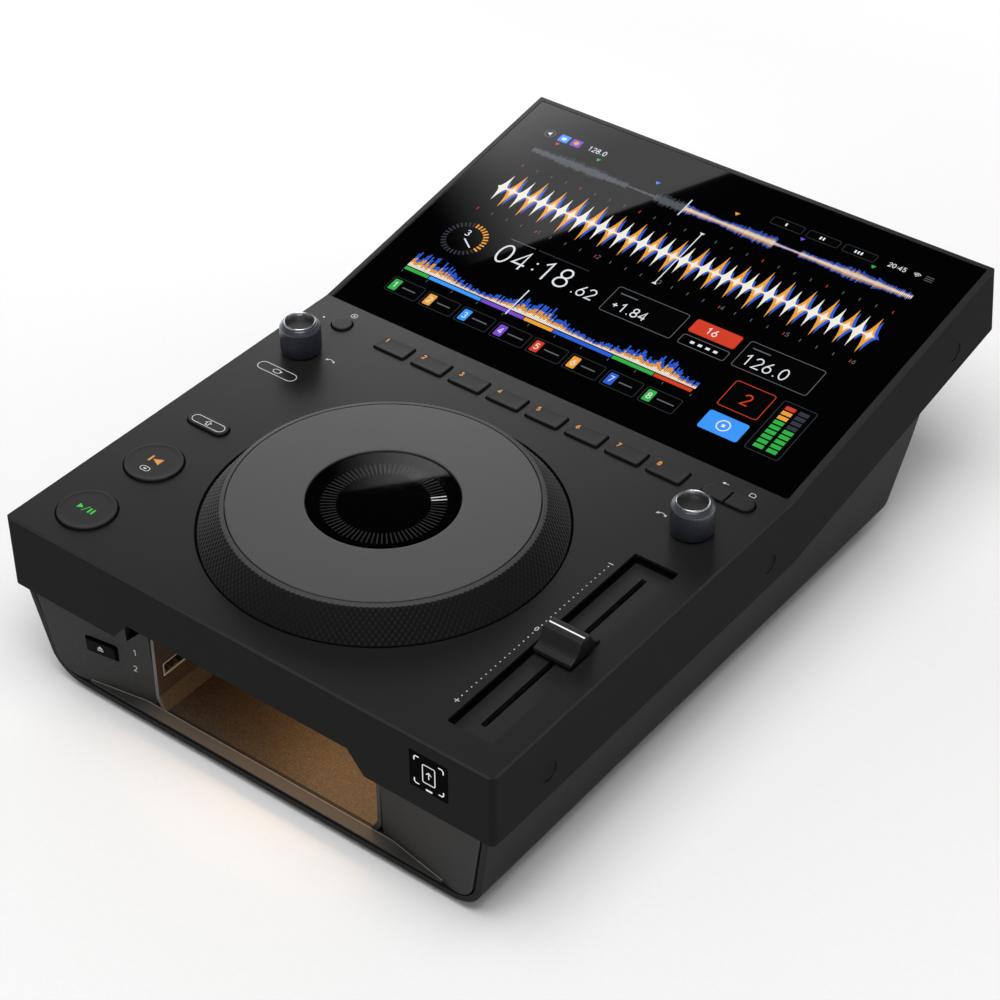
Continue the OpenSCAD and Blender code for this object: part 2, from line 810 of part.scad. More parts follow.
module control_board() {
    color(board_color) on_deck() difference() {
        translate([-board_half_w, 5, board_z - board_t])
            cube([2 * board_half_w, fold_y - 9, board_t]);
        translate([0, jog_y, board_z - 5]) cylinder(r = jog_bay_r, h = 10);
        translate([-jog_bay_r / 2, 0, board_z - 5]) cube([jog_bay_r, jog_y, 10]);
        for (p = boss_at) translate([p[0], p[1], board_z - 5]) cylinder(r = 1.3, h = 10);
    }
}

// Centres of the keys on the deck, in the order of the key modules.
key_spots = concat([[play_x, play_y], [play_x, cue_y], [play_x, shift_y],
                    [delete_x, delete_y], [pair_x - 6.6, pair_y], [pair_x + 6.6, pair_y]],
                   [for (i = [1:pad_count]) [pad_x(i), pad_y]]);

module key_switches() {
    color("dimgray") on_deck() for (p = key_spots) translate([p[0], p[1], board_z]) {
        translate([-3, -3, 0]) cube([6, 6, 3.4]);
        cylinder(r = 1.6, h = switch_top - board_z);
    }
}

// ---- Keys: cap through the deck, a flange that keeps it in, and a stem ----

module key_stem() {
    low = switch_top + button_travel + 0.2;
    translate([0, 0, low]) cylinder(r = 1.5, h = -deck_t - seat_gap - low);
}

module key(flange) {
    top = -deck_t - seat_gap;
    translate([0, 0, top]) linear_extrude(button_h - top) children(0);
    translate([0, 0, top - 0.9]) linear_extrude(0.9) children(1);
    key_stem();
}

module round_key(x, y, r) {
    color(key_color) on_deck() translate([x, y, 0]) key() {
        circle(r - button_gap);
        circle(r + 0.9);
    }
}

module play_button() {
    round_key(play_x, play_y, play_r);
}

module cue_button() {
    round_key(play_x, cue_y, play_r);
}

module delete_button() {
    round_key(delete_x, delete_y, delete_r);
}

module shift_button() {
    color(key_color) on_deck() translate([play_x, shift_y, 0]) key() {
        pill(shift_w - 2 * button_gap, shift_d - 2 * button_gap);
        square([shift_w + 1.6, shift_d + 1.6], center = true);
    }
}

module pad(i) {
    color(key_color) on_deck() translate([pad_x(i), pad_y, 0]) key() {
        rounded_rect(pad_w - 2 * button_gap, pad_d - 2 * button_gap, 1.1);
        square([pad_w + 1.8, pad_d + 1.8], center = true);
    }
}

// One half of the split pair: side is -1 for the left key and 1 for the right key.
module pair_key(side) {
    color(key_color) on_deck() translate([pair_x, pair_y, 0]) intersection() {
        union() {
            translate([0, 0, -deck_t - seat_gap]) linear_extrude(button_h + deck_t + seat_gap)
                pill(pair_w - 2 * button_gap, pair_d - 2 * button_gap);
            translate([0, 0, -deck_t - seat_gap - 0.9]) linear_extrude(0.9)
                square([pair_w + 1.6, pair_d + 1.6], center = true);
            translate([side * 6.6, 0, 0]) key_stem();
        }
        translate([side * (20 + pair_split / 2) - 20, -20, -20]) cube([40, 40, 40]);
    }
}

module back_button() {
    pair_key(-1);
}

module tag_button() {
    pair_key(1);
}

// ---- Knobs: a sleeve that turns on an encoder shaft, which also pushes down ----

encoder_h = 6.5;

module knob_encoders() {
    color(metal_color) on_deck() for (x = knob_x) translate([x, knob_y, board_z])
        difference() {
            union() {
                translate([-6, -6, 0]) cube([12, 12, encoder_h]);
                cylinder(r = shaft_r + 1.6, h = encoder_h + 3.5);
            }
            translate([0, 0, 1]) cylinder(r = shaft_r + run_fit, h = 20);
        }
}

module shaft(i) {
    low = board_z + 1 + button_travel + 0.2;
    color(metal_color) on_deck() translate([knob_x[i], knob_y, low])
        cylinder(r = shaft_r, h = knob_h - 3.5 - low);
}

// Ribbed sleeve with a dished cap, revolved, then fluted.
module knob(i) {
    base = button_travel + 0.5;
    neck = knob_h - 2.6;
    flutes = 24;
    color([0.35, 0.37, 0.42]) on_deck() translate([knob_x[i], knob_y, 0]) difference() {
        rotate_extrude() polygon([[shaft_r + run_fit, base], [knob_r - 0.4, base],
            [knob_r, base + 0.5], [knob_r, neck], [knob_r - 0.5, knob_h - 1.5],
            [knob_r - 1.5, knob_h - 0.8], [knob_r - 1.7, knob_h], [knob_r - 2.1, knob_h],
            [knob_r - 3.1, knob_h - 1.7], [0, knob_h - 1.7], [0, knob_h - 3.5],
            [shaft_r + run_fit, knob_h - 3.5]]);
        for (a = [0:flutes - 1]) rotate([0, 0, a * 360 / flutes])
            translate([knob_r + 0.35, 0, base + 1.5]) cylinder(r = 0.6, h = neck - base - 2.4);
    }
}

// ---- Tempo fader ----

trough_t = 1.5;

module fader_trough() {
    color(key_color) on_deck() translate([fader_x, fader_y, -deck_t - trough_t]) difference() {
        linear_extrude(trough_t) square([trough_w + 2.2, trough_len + 8], center = true);
        translate([0, 0, -1]) linear_extrude(5)
            square([slot_w, fader_travel + stem_len + 0.4], center = true);
    }
}

module fader_unit() {
    w = 14;
    len = trough_len + 4;
    top = -deck_t - trough_t;
    color(metal_color) on_deck() translate([fader_x, fader_y, top - fader_depth]) difference() {
        linear_extrude(fader_depth) square([w, len], center = true);
        translate([0, 0, 1]) linear_extrude(fader_depth - 2)
            square([w - 2, len - 2], center = true);
        linear_extrude(20) square([slot_w, fader_travel + stem_len + 0.4], center = true);
    }
}

module fader_carriage() {
    low = -deck_t - trough_t - fader_depth + 1.3;
    color("gray") on_deck() translate([fader_x, fader_y, 0]) {
        translate([-5.6, -5, low]) cube([11.2, 10, fader_depth - 2.6]);
        translate([-stem_w / 2, -stem_len / 2, low + 2]) cube([stem_w, stem_len, 4.2 - low - 2]);
    }
}

// Saddle-shaped cap: both faces are hollowed up to a narrow ridge.
module fader_cap() {
    ridge = 2.4;
    dip = 15;
    run = cap_len / 2 - ridge;
    mid = [run / 2 + ridge + 5.4, cap_h + 7.2];
    color(key_color) on_deck() translate([fader_x, fader_y, 0]) difference() {
        across(cap_w) difference() {
            polygon([[-cap_len / 2, cap_base], [-cap_len / 2, 0.8], [-ridge, cap_h],
                     [ridge, cap_h], [cap_len / 2, 0.8], [cap_len / 2, cap_base]]);
            for (side = [-1, 1]) translate([side * mid[0], mid[1]]) circle(dip - 3, $fn = 96);
        }
        translate([-stem_w / 2 - 0.1, -stem_len / 2 - 0.1, cap_base - 1])
            cube([stem_w + 0.2, stem_len + 0.2, 6.4]);
    }
}

// ---- Jog wheel ----

module on_jog() {
    on_deck() translate([0, jog_y, 0]) children();
}

// Disc that closes the well from below and carries the fixed post.
module jog_base() {
    color("black") on_jog() {
        translate([0, 0, base_z - base_t]) difference() {
            cylinder(r = jog_well_r + 4.5, h = base_t, $fn = 128);
            translate([0, 0, -1]) cylinder(r = 24, h = 10);
        }
        translate([0, 0, -20]) difference() {
            cylinder(r = 27, h = 20 + base_z);
            translate([0, 0, 3]) cylinder(r = 24, h = 30);
            translate([0, 0, -1]) cylinder(r = post_r, h = 10);
        }
    }
}

module jog_post() {
    color(metal_color) on_jog() {
        translate([0, 0, -20]) cylinder(r = post_r, h = 26.4);
        translate([0, 0, -17]) cylinder(r = post_r + 1.5, h = 3);
        translate([0, 0, 5.8]) cylinder(r = jog_display_r - 3, h = 1.6);
    }
}

module jog_bearing() {
    color("silver") on_jog() translate([0, 0, -14]) rotate_extrude()
        polygon([[post_r, 0], [hub_bore - run_fit, 0], [hub_bore - run_fit, 14],
                 [post_r, 14]]);
}

module jog_display() {
    color("black") on_jog() {
        translate([0, 0, 7.4]) cylinder(r = jog_display_r - 1.2, h = 2.6);
        translate([0, 0, 10]) cylinder(r = jog_display_r, h = jog_h - 10, $fn = 96);
    }
}

module jog_hub() {
    color(metal_color) on_jog() rotate_extrude($fn = 96)
        polygon([[hub_bore, -13], [hub_r, -13], [hub_r, disc_z], [hub_r + 2, disc_z],
                 [hub_r + 2, web_z], [disc_r, web_z], [disc_r, plate_z - 2.5],
                 [flange_r, plate_z - 2.5],
                 [flange_r, plate_z], [jog_display_r + 3, plate_z], [jog_display_r + 3, web_z + 2],
                 [hub_bore, web_z + 2]]);
}

module jog_code_disc() {
    color("silver") on_jog() translate([0, 0, disc_z - disc_t]) difference() {
        tube(disc_r, hub_r, disc_t);
        for (a = [0:23]) rotate([0, 0, a * 15]) translate([disc_r - 4, -0.8, -1])
            cube([3, 1.6, 3]);
    }
}

// Forked sensor that straddles the edge of the code disc.
module jog_sensor() {
    h = 7;
    color("black") on_jog() translate([disc_r - 5, -4, base_z]) difference() {
        translate([0, 0, 0]) cube([9, 8, h - 1.4]);
        translate([-1, -1, disc_z - disc_t - base_z - 0.8]) cube([7, 10, disc_t + 1.6]);
    }
}

// Gripped cone: a revolved ring with shallow ribs cut up its slope.
module jog_rim() {
    top = jog_h - 0.8;
    slope_a = atan((rim_r - 0.6 - jog_cone_r) / (top - 1.4));
    color(key_color) on_jog() difference() {
        rotate_extrude($fn = 128) polygon([[rim_r - 6, -1.6], [rim_r, -1.6], [rim_r, 0.8],
            [rim_r - 0.6, 1.4], [jog_cone_r, top], [jog_plate_r + 0.3, jog_h],
            [jog_plate_r + 0.3, plate_z - seat_gap],
            [flange_r + seat_gap, plate_z - seat_gap], [flange_r + seat_gap, plate_z - 3.4],
            [rim_r - 8, plate_z - 3.4]]);
        for (a = [0:jog_ribs - 1]) rotate([0, 0, a * 360 / jog_ribs])
            translate([rim_r + 0.5, 0, 1]) rotate([0, -slope_a, 0])
                translate([0, 0, 0.6]) cylinder(r = 0.9, h = 9.5, $fn = 16);
    }
}

module jog_plate() {
    color([0.36, 0.36, 0.37]) on_jog() translate([0, 0, plate_z]) difference() {
        cylinder(r = jog_plate_r, h = plate_t, $fn = 128);
        translate([0, 0, -1]) cylinder(r = jog_display_r + 0.6, h = plate_t + 2, $fn = 96);
    }
}

top_cover();
tray();
front_fascia();
bay_liner();
bay_light_bar();
bay_usb_port();
front_usb_port();
usb_board();
rear_panel();
power_inlet();
power_switch_frame();
power_rocker();
network_jack();
audio_jacks();
screen_back_cover();
screen_glass();
screen_module();
tap_window();
side_plugs();
feet();
tray_screws();
rear_screws();
fader_trough();
fader_unit();
fader_carriage();
fader_cap();
control_board();
board_screws();
key_switches();
knob_encoders();
jog_base();
jog_bearing();
jog_post();
jog_display();
jog_sensor();
jog_hub();
jog_rim();
jog_plate();
jog_code_disc();
main_board();
power_supply();
play_button();
cue_button();
shift_button();
delete_button();
back_button();
tag_button();
eject_button();
pad(1);  // pad_1
pad(2);  // pad_2
pad(3);  // pad_3
pad(4);  // pad_4
pad(5);  // pad_5
pad(6);  // pad_6
pad(7);  // pad_7
pad(8);  // pad_8
shaft(0);  // loop_shaft
knob(0);  // loop_knob
shaft(1);  // browse_shaft
knob(1);  // browse_knob
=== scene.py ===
"""Looks of the tabletop media player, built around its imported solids.

Lengths are millimetres on the deck: x to the player's right, y back from the front edge,
z up from the deck's top face. deck() and screen() turn them into the frame's metres.
"""

import math

import bmesh
import bpy
from mathutils import Matrix, Vector


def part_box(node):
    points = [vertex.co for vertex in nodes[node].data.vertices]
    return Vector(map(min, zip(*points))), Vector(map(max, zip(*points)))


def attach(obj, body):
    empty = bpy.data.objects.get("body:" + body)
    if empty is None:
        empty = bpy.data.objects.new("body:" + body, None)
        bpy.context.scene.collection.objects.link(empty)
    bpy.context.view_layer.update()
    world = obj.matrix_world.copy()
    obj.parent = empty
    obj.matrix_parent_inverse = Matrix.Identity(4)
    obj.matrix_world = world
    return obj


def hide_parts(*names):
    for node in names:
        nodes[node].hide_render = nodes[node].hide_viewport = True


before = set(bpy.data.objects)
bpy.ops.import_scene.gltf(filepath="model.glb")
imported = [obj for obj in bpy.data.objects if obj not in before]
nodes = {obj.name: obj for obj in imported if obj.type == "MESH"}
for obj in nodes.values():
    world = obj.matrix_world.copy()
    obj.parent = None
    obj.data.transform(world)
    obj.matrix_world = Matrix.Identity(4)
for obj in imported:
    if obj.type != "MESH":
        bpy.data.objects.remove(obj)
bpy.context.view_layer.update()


# ---- Camera ----
# A 92.5 mm lens a little over a metre away, seen from the player's front right at 37.5
# degrees and from 38.6 degrees above the deck.

camera_data = bpy.data.cameras.new("view_camera")
camera_data.lens = 92.53
camera_data.sensor_width = 36
view_camera = bpy.data.objects.new("view_camera", camera_data)
view_camera.matrix_world = Matrix((
    (0.79407, -0.37852, 0.47559, 0.52748),
    (0.60783, 0.49632, -0.61985, -0.70504),
    (-0.00142, 0.78128, 0.62418, 0.74204),
    (0, 0, 0, 1)))
bpy.context.scene.collection.objects.link(view_camera)
bpy.context.scene.camera = view_camera
bpy.context.scene.view_settings.view_transform = "Standard"


# ---- Studio ----
# A white paper floor, one large soft box overhead, and two upright ones behind the left
# corner, which the screen, the deck and the jog wheel's lens mirror. The ceiling is dark.

def colour(code):
    """Linear colour of an sRGB hex value."""
    parts = [int(code[i:i + 2], 16) / 255 for i in (1, 3, 5)]
    return [c / 12.92 if c <= 0.04045 else ((c + 0.055) / 1.055) ** 2.4 for c in parts] + [1]


def add_node(tree, kind, inputs=None, **settings):
    """Adds a node; an input is a value or the output socket that feeds it."""
    node = tree.nodes.new(kind)
    for name, value in settings.items():
        setattr(node, name, value)
    for name, value in (inputs or {}).items():
        if isinstance(value, bpy.types.NodeSocket):
            tree.links.new(value, node.inputs[name])
        else:
            node.inputs[name].default_value = value
    return node


def new_material(name):
    material = bpy.data.materials.new(name)
    material.use_nodes = True
    material.node_tree.nodes.clear()
    return material, material.node_tree


# Matt white paper with a faint tooth. Away from the object it joins the white backdrop.
floor_paper, tree = new_material("matt_floor_paper")
spot = add_node(tree, "ShaderNodeTexCoord")
tooth = add_node(tree, "ShaderNodeTexNoise", {"Vector": spot.outputs["Object"], "Scale": 400.0})
sheet = add_node(tree, "ShaderNodeMix", {"Factor": tooth.outputs["Fac"],
                                         6: colour("#f6f6f6"), 7: colour("#fafafa")},
                 data_type="RGBA")
paper = add_node(tree, "ShaderNodeBsdfDiffuse", {"Color": sheet.outputs[2], "Roughness": 1.0})
reach = add_node(tree, "ShaderNodeVectorMath", {0: spot.outputs["Object"]}, operation="LENGTH")
away = add_node(tree, "ShaderNodeMapRange", {"Value": reach.outputs["Value"], "From Min": 0.24,
                                             "From Max": 0.6}, interpolation_type="SMOOTHSTEP")
seen = add_node(tree, "ShaderNodeLightPath")
shiny = add_node(tree, "ShaderNodeMath", {0: seen.outputs["Is Glossy Ray"],
                                          1: seen.outputs["Is Transmission Ray"]},
                 operation="MAXIMUM")
straight = add_node(tree, "ShaderNodeMath", {0: shiny.outputs["Value"],
                                             1: seen.outputs["Is Camera Ray"]},
                    operation="MAXIMUM")
join = add_node(tree, "ShaderNodeMath", {0: away.outputs["Result"],
                                         1: straight.outputs["Value"]}, operation="MULTIPLY")
white = add_node(tree, "ShaderNodeEmission", {"Color": colour("#ffffff"), "Strength": 1.0})
cover = add_node(tree, "ShaderNodeMixShader", {0: join.outputs["Value"], 1: paper.outputs["BSDF"],
                                               2: white.outputs["Emission"]})
add_node(tree, "ShaderNodeOutputMaterial", {"Surface": cover.outputs["Shader"]})

floor_mesh = bpy.data.meshes.new("floor")
floor_mesh.from_pydata([(-4, -4, 0), (4, -4, 0), (4, 4, 0), (-4, 4, 0)], [], [(0, 1, 2, 3)])
floor_mesh.materials.append(floor_paper)
floor = bpy.data.objects.new("floor", floor_mesh)
bpy.context.scene.collection.objects.link(floor)

# The room: white to the camera. Gloss and glass see the same white at the horizon, and a
# dark ceiling above it.
room = bpy.data.worlds.new("studio")
room.use_nodes = True
tree = room.node_tree
tree.nodes.clear()
seen = add_node(tree, "ShaderNodeLightPath")
where = add_node(tree, "ShaderNodeTexCoord")
height = add_node(tree, "ShaderNodeSeparateXYZ", {"Vector": where.outputs["Generated"]})
low = add_node(tree, "ShaderNodeMapRange", {"Value": height.outputs["Z"], "From Min": 0.05,
                                            "From Max": 0.2, "To Min": 1.0, "To Max": 0.0})
shiny = add_node(tree, "ShaderNodeMath", {0: seen.outputs["Is Glossy Ray"],
                                          1: seen.outputs["Is Transmission Ray"]},
                 operation="MAXIMUM")
horizon = add_node(tree, "ShaderNodeMath", {0: shiny.outputs["Value"],
                                            1: low.outputs["Result"]}, operation="MULTIPLY")
white = add_node(tree, "ShaderNodeMath", {0: horizon.outputs["Value"],
                                          1: seen.outputs["Is Camera Ray"]},
                 operation="MAXIMUM")
fill = add_node(tree, "ShaderNodeMapRange", {"Value": seen.outputs["Is Diffuse Ray"],
                                             "To Min": 0.012, "To Max": 0.3})
ceiling = add_node(tree, "ShaderNodeBackground", {"Color": colour("#ffffff"),
                                                  "Strength": fill.outputs["Result"]})
backdrop = add_node(tree, "ShaderNodeBackground", {"Color": colour("#ffffff"), "Strength": 1.0})
both = add_node(tree, "ShaderNodeMixShader", {0: white.outputs["Value"], 1: ceiling.outputs[0],
                                              2: backdrop.outputs[0]})
add_node(tree, "ShaderNodeOutputWorld", {"Surface": both.outputs[0]})
bpy.context.scene.world = room


def soft_box(name, centre, target, size, glow, tint="#ffffff"):
    """Area lamp of a given luminance, where 1 is a white surface."""
    lamp = bpy.data.lights.new(name, "AREA")
    lamp.shape = "RECTANGLE"
    lamp.size, lamp.size_y = size
    lamp.energy = glow * math.pi * size[0] * size[1]
    lamp.color = colour(tint)[:3]
    holder = bpy.data.objects.new(name, lamp)
    holder.location = centre
    aim = Vector(target) - Vector(centre)
    holder.rotation_euler = aim.to_track_quat("-Z", "Y").to_euler()
    holder.visible_camera = False
    bpy.context.scene.collection.objects.link(holder)
    return holder


soft_box("top_box", (0.2, -0.4, 1.5), (0, -0.05, 0), (1.1, 1.1), 4.7)

# The rear box faces the front right, its top edge 0.55 m up and falling a little to the
# right. It is brightest low down, and fades towards its left edge.
rear_box = soft_box("rear_box", (-0.309, 0.430, 0.400), (0.411, -0.260, 0.400),
                    (0.32, 0.291), 1.0)
rear_box.rotation_euler.rotate_axis("Z", math.radians(5.5))
rear_box.data.use_nodes = True
tree = rear_box.data.node_tree
tree.nodes.clear()
place = add_node(tree, "ShaderNodeNewGeometry")
across = add_node(tree, "ShaderNodeSeparateXYZ", {"Vector": place.outputs["Parametric"]})
down = add_node(tree, "ShaderNodeMapRange", {"Value": across.outputs["Y"], "From Min": 0.825,
                                             "From Max": 0.24, "To Min": 1.0, "To Max": 3.8},
                interpolation_type="SMOOTHSTEP")
side = add_node(tree, "ShaderNodeMapRange", {"Value": across.outputs["X"], "From Min": 1.0,
                                             "From Max": 0.76}, interpolation_type="SMOOTHSTEP")
both = add_node(tree, "ShaderNodeMath", {0: down.outputs["Result"], 1: side.outputs["Result"]},
                operation="MULTIPLY")
glow = add_node(tree, "ShaderNodeEmission", {"Strength": both.outputs["Value"]})
add_node(tree, "ShaderNodeOutputLight", {"Surface": glow.outputs[0]})

soft_box("left_low_box", (-0.543, 0.267, 0.235), (0.177, -0.423, 0.235), (0.40, 0.41), 2.4)


# ---- Tray ----
# Lower shell of folded sheet steel with a textured powder coat. The large lower corners are
# rolled, and six screws hold it from below.

front_y = 1000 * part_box("top_cover")[0].y
deck_z = 1000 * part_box("fader_trough")[1].z + 3
tilt = math.radians(10)
fold_y = 201


def deck(x, y, z=0.0):
    return Vector((x, y + front_y, z + deck_z)) / 1000


def dress(material, *names):
    """Gives a finish to solids that keep their shape."""
    for name in names:
        mesh = nodes[name].data
        mesh.materials.clear()
        mesh.materials.append(material)


def circle(radius, z=0.0, steps=48, x=0.0, y=0.0):
    return [(x + radius * math.cos(2 * math.pi * k / steps),
             y + radius * math.sin(2 * math.pi * k / steps), z) for k in range(steps)]


def lathe(profile, steps=48, x=0.0, y=0.0):
    """Rings of a turned shape from a list of radius and height."""
    return [circle(r, z, steps, x, y) for r, z in profile]


def make_piece(name, shells, material, body, at=deck, instead_of=None, crease=30):
    """One mesh of lofted shells. A shell is its rings and "capped", "looped" or "open"."""
    points, faces = [], []
    for rings, ends in shells:
        first, count = len(points), len(rings[0])
        points += [at(*p) for ring in rings for p in ring]
        spans = len(rings) if ends == "looped" else len(rings) - 1
        for i in range(spans):
            low, high = first + i * count, first + (i + 1) % len(rings) * count
            faces += [(low + k, low + (k + 1) % count, high + (k + 1) % count, high + k)
                      for k in range(count)]
        if ends == "capped":
            faces.append(tuple(range(first + count - 1, first - 1, -1)))
            faces.append(tuple(range(len(points) - count, len(points))))
    mesh = bpy.data.meshes.new(name)
    mesh.from_pydata(points, [], faces)
    build = bmesh.new()
    build.from_mesh(mesh)
    bmesh.ops.recalc_face_normals(build, faces=build.faces)
    build.to_mesh(mesh)
    build.free()
    mesh.shade_smooth()
    mesh.set_sharp_from_angle(angle=math.radians(crease))
    mesh.materials.append(material)
    piece = bpy.data.objects.new(name, mesh)
    bpy.context.scene.collection.objects.link(piece)
    flat_light = piece.modifiers.new("flat_light", "WEIGHTED_NORMAL")
    flat_light.keep_sharp = True
    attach(piece, body)
    if instead_of:
        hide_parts(*([instead_of] if isinstance(instead_of, str) else instead_of))
    return piece


# Powder coat: dull dark grey with a sandy skin. Its 0.5 mm grains are drawn at 0.8 mm so
# that they show.
powder_coat, tree = new_material("textured_powder_coat")
spot = add_node(tree, "ShaderNodeTexCoord")
grain = add_node(tree, "ShaderNodeTexNoise", {"Vector": spot.outputs["Object"], "Scale": 1250.0,
                                              "Detail": 3.0, "Roughness": 0.6})
fleck = add_node(tree, "ShaderNodeMapRange", {"Value": grain.outputs["Fac"], "From Min": 0.35,
                                              "From Max": 0.68})
tone = add_node(tree, "ShaderNodeMix", {"Factor": fleck.outputs["Result"],
                                        6: colour("#151515"), 7: colour("#232324")},
                data_type="RGBA")
sand = add_node(tree, "ShaderNodeBump", {"Height": grain.outputs["Fac"], "Strength": 0.5,
                                         "Distance": 0.00012})
skin = add_node(tree, "ShaderNodeBsdfPrincipled", {
    "Base Color": tone.outputs[2], "Roughness": 0.65, "Specular IOR Level": 0.17,
    "Normal": sand.outputs["Normal"]})
add_node(tree, "ShaderNodeOutputMaterial", {"Surface": skin.outputs["BSDF"]})
dress(powder_coat, "tray", "rear_panel")

# Zinc-plated steel: greyish silver with faint clouding from the plating bath.
zinc_steel, tree = new_material("zinc_plated_steel")
spot = add_node(tree, "ShaderNodeTexCoord")
cloud = add_node(tree, "ShaderNodeTexNoise", {"Vector": spot.outputs["Object"], "Scale": 400.0,
                                              "Detail": 4.0})
dull = add_node(tree, "ShaderNodeMapRange", {"Value": cloud.outputs["Fac"], "To Min": 0.28,
                                             "To Max": 0.42})
skin = add_node(tree, "ShaderNodeBsdfPrincipled", {
    "Base Color": colour("#a9abae"), "Metallic": 1.0, "Roughness": dull.outputs["Result"]})
add_node(tree, "ShaderNodeOutputMaterial", {"Surface": skin.outputs["BSDF"]})


def cross_ring(arm, reach, z, steps=64):
    """Outline of a cross recess, sampled by angle to meet a circle's points."""
    ring = []
    for k in range(steps):
        a = 2 * math.pi * (k + 0.5) / steps
        c, s = abs(math.cos(a)), abs(math.sin(a))
        r = max(min(reach / c, arm / s), min(reach / s, arm / c))
        ring.append((r * math.cos(a), r * math.sin(a), z))
    return ring


def screw_head(radius, height, shank, length):
    """Pan head with a cross recess, seat at z = 0, head towards +z, shank towards -z."""
    turn = math.pi / 64
    rows = [(shank, -length), (shank, 0), (radius, 0), (radius, height * 0.45),
            (radius * 0.93, height * 0.75), (radius * 0.78, height * 0.94),
            (radius * 0.7, height)]
    rings = [[(x * math.cos(turn) - y * math.sin(turn), x * math.sin(turn) + y * math.cos(turn), z)
              for x, y, z in circle(r, z, 64)] for r, z in rows]
    rings += [cross_ring(radius * 0.14, radius * 0.6, height),
              cross_ring(radius * 0.11, radius * 0.5, height * 0.35)]
    return rings


screw_x = 90
screws = []
for sx in (-screw_x, screw_x):
    for sy in (17, 150, 295):
        screws.append(([[(sx + x, sy - y, -83.5 - z) for x, y, z in ring]
                        for ring in screw_head(2.8, 1.4, 1.4, 4.8)], "capped"))
make_piece("tray_screw_set", screws, zinc_steel, "chassis", instead_of="tray_screws")

# Moulded rubber: deep matt black, a little dusty on top of its bulge.
foot_rubber, tree = new_material("moulded_rubber")
spot = add_node(tree, "ShaderNodeTexCoord")
dust = add_node(tree, "ShaderNodeTexNoise", {"Vector": spot.outputs["Object"], "Scale": 300.0,
                                             "Detail": 5.0})
tone = add_node(tree, "ShaderNodeMix", {"Factor": dust.outputs["Fac"],
                                        6: colour("#151515"), 7: colour("#232322")},
                data_type="RGBA")
skin = add_node(tree, "ShaderNodeBsdfPrincipled", {"Base Color": tone.outputs[2],
                                                   "Roughness": 0.85})
add_node(tree, "ShaderNodeOutputMaterial", {"Surface": skin.outputs["BSDF"]})

foot_profile = [(0.5, -84.7), (5.2, -84.7), (5.6, -86.9), (6.2, -87.4), (7.6, -87.5),
                (8.4, -87.2), (8.9, -86.4), (9.0, -85.4), (9.0, -83.5), (0.5, -83.5)]
feet = [(lathe(foot_profile, 48, x, y), "capped") for x in (-88, 88) for y in (30, 282)]
make_piece("rubber_feet", feet, foot_rubber, "chassis", instead_of="feet")


# ---- Back sockets ----
# Mains inlet, rocker switch, network jack and phono sockets in the rear panel: black nylon
# mouldings, tinned shells and gold-plated sleeves.

# Glass-filled nylon: near black with a faint mottled sheen.
black_nylon, tree = new_material("glass_filled_nylon")
spot = add_node(tree, "ShaderNodeTexCoord")
mottle = add_node(tree, "ShaderNodeTexNoise", {"Vector": spot.outputs["Object"],
                                               "Scale": 700.0, "Detail": 4.0})
sheen = add_node(tree, "ShaderNodeMapRange", {"Value": mottle.outputs["Fac"], "To Min": 0.34,
                                              "To Max": 0.52})
skin = add_node(tree, "ShaderNodeBsdfPrincipled", {
    "Base Color": colour("#1c1c1d"), "Roughness": sheen.outputs["Result"]})
add_node(tree, "ShaderNodeOutputMaterial", {"Surface": skin.outputs["BSDF"]})
dress(black_nylon, "power_inlet", "power_switch_frame", "power_rocker")

# Gold plate over brass, turned: warm, with fine rings from the tool.
gold_plate, tree = new_material("gold_plated_brass")
spot = add_node(tree, "ShaderNodeTexCoord")
rings = add_node(tree, "ShaderNodeTexWave", {"Vector": spot.outputs["Object"], "Scale": 900.0,
                                             "Distortion": 0.4},
                 bands_direction="Y")
turned = add_node(tree, "ShaderNodeBump", {"Height": rings.outputs["Fac"], "Strength": 0.15,
                                           "Distance": 0.00003})
skin = add_node(tree, "ShaderNodeBsdfPrincipled", {
    "Base Color": colour("#d6b06a"), "Metallic": 1.0, "Roughness": 0.24,
    "Normal": turned.outputs["Normal"]})
add_node(tree, "ShaderNodeOutputMaterial", {"Surface": skin.outputs["BSDF"]})
dress(gold_plate, "audio_jacks")

# Tinned steel: bright, slightly blurred by the dip.
tinned_steel, tree = new_material("tinned_steel")
spot = add_node(tree, "ShaderNodeTexCoord")
dip = add_node(tree, "ShaderNodeTexNoise", {"Vector": spot.outputs["Object"], "Scale": 260.0,
                                            "Detail": 3.0})
dull = add_node(tree, "ShaderNodeMapRange", {"Value": dip.outputs["Fac"], "To Min": 0.18,
                                             "To Max": 0.34})
skin = add_node(tree, "ShaderNodeBsdfPrincipled", {
    "Base Color": colour("#c4c6c8"), "Metallic": 1.0, "Roughness": dull.outputs["Result"]})
add_node(tree, "ShaderNodeOutputMaterial", {"Surface": skin.outputs["BSDF"]})
dress(tinned_steel, "network_jack", "bay_usb_port", "front_usb_port")


rear_y = 300


def rear(x, y, z):
    """Panel coordinates: x and y across the panel seen from behind, z out of it, in deck axes."""
    return deck(x, rear_y + z, y)


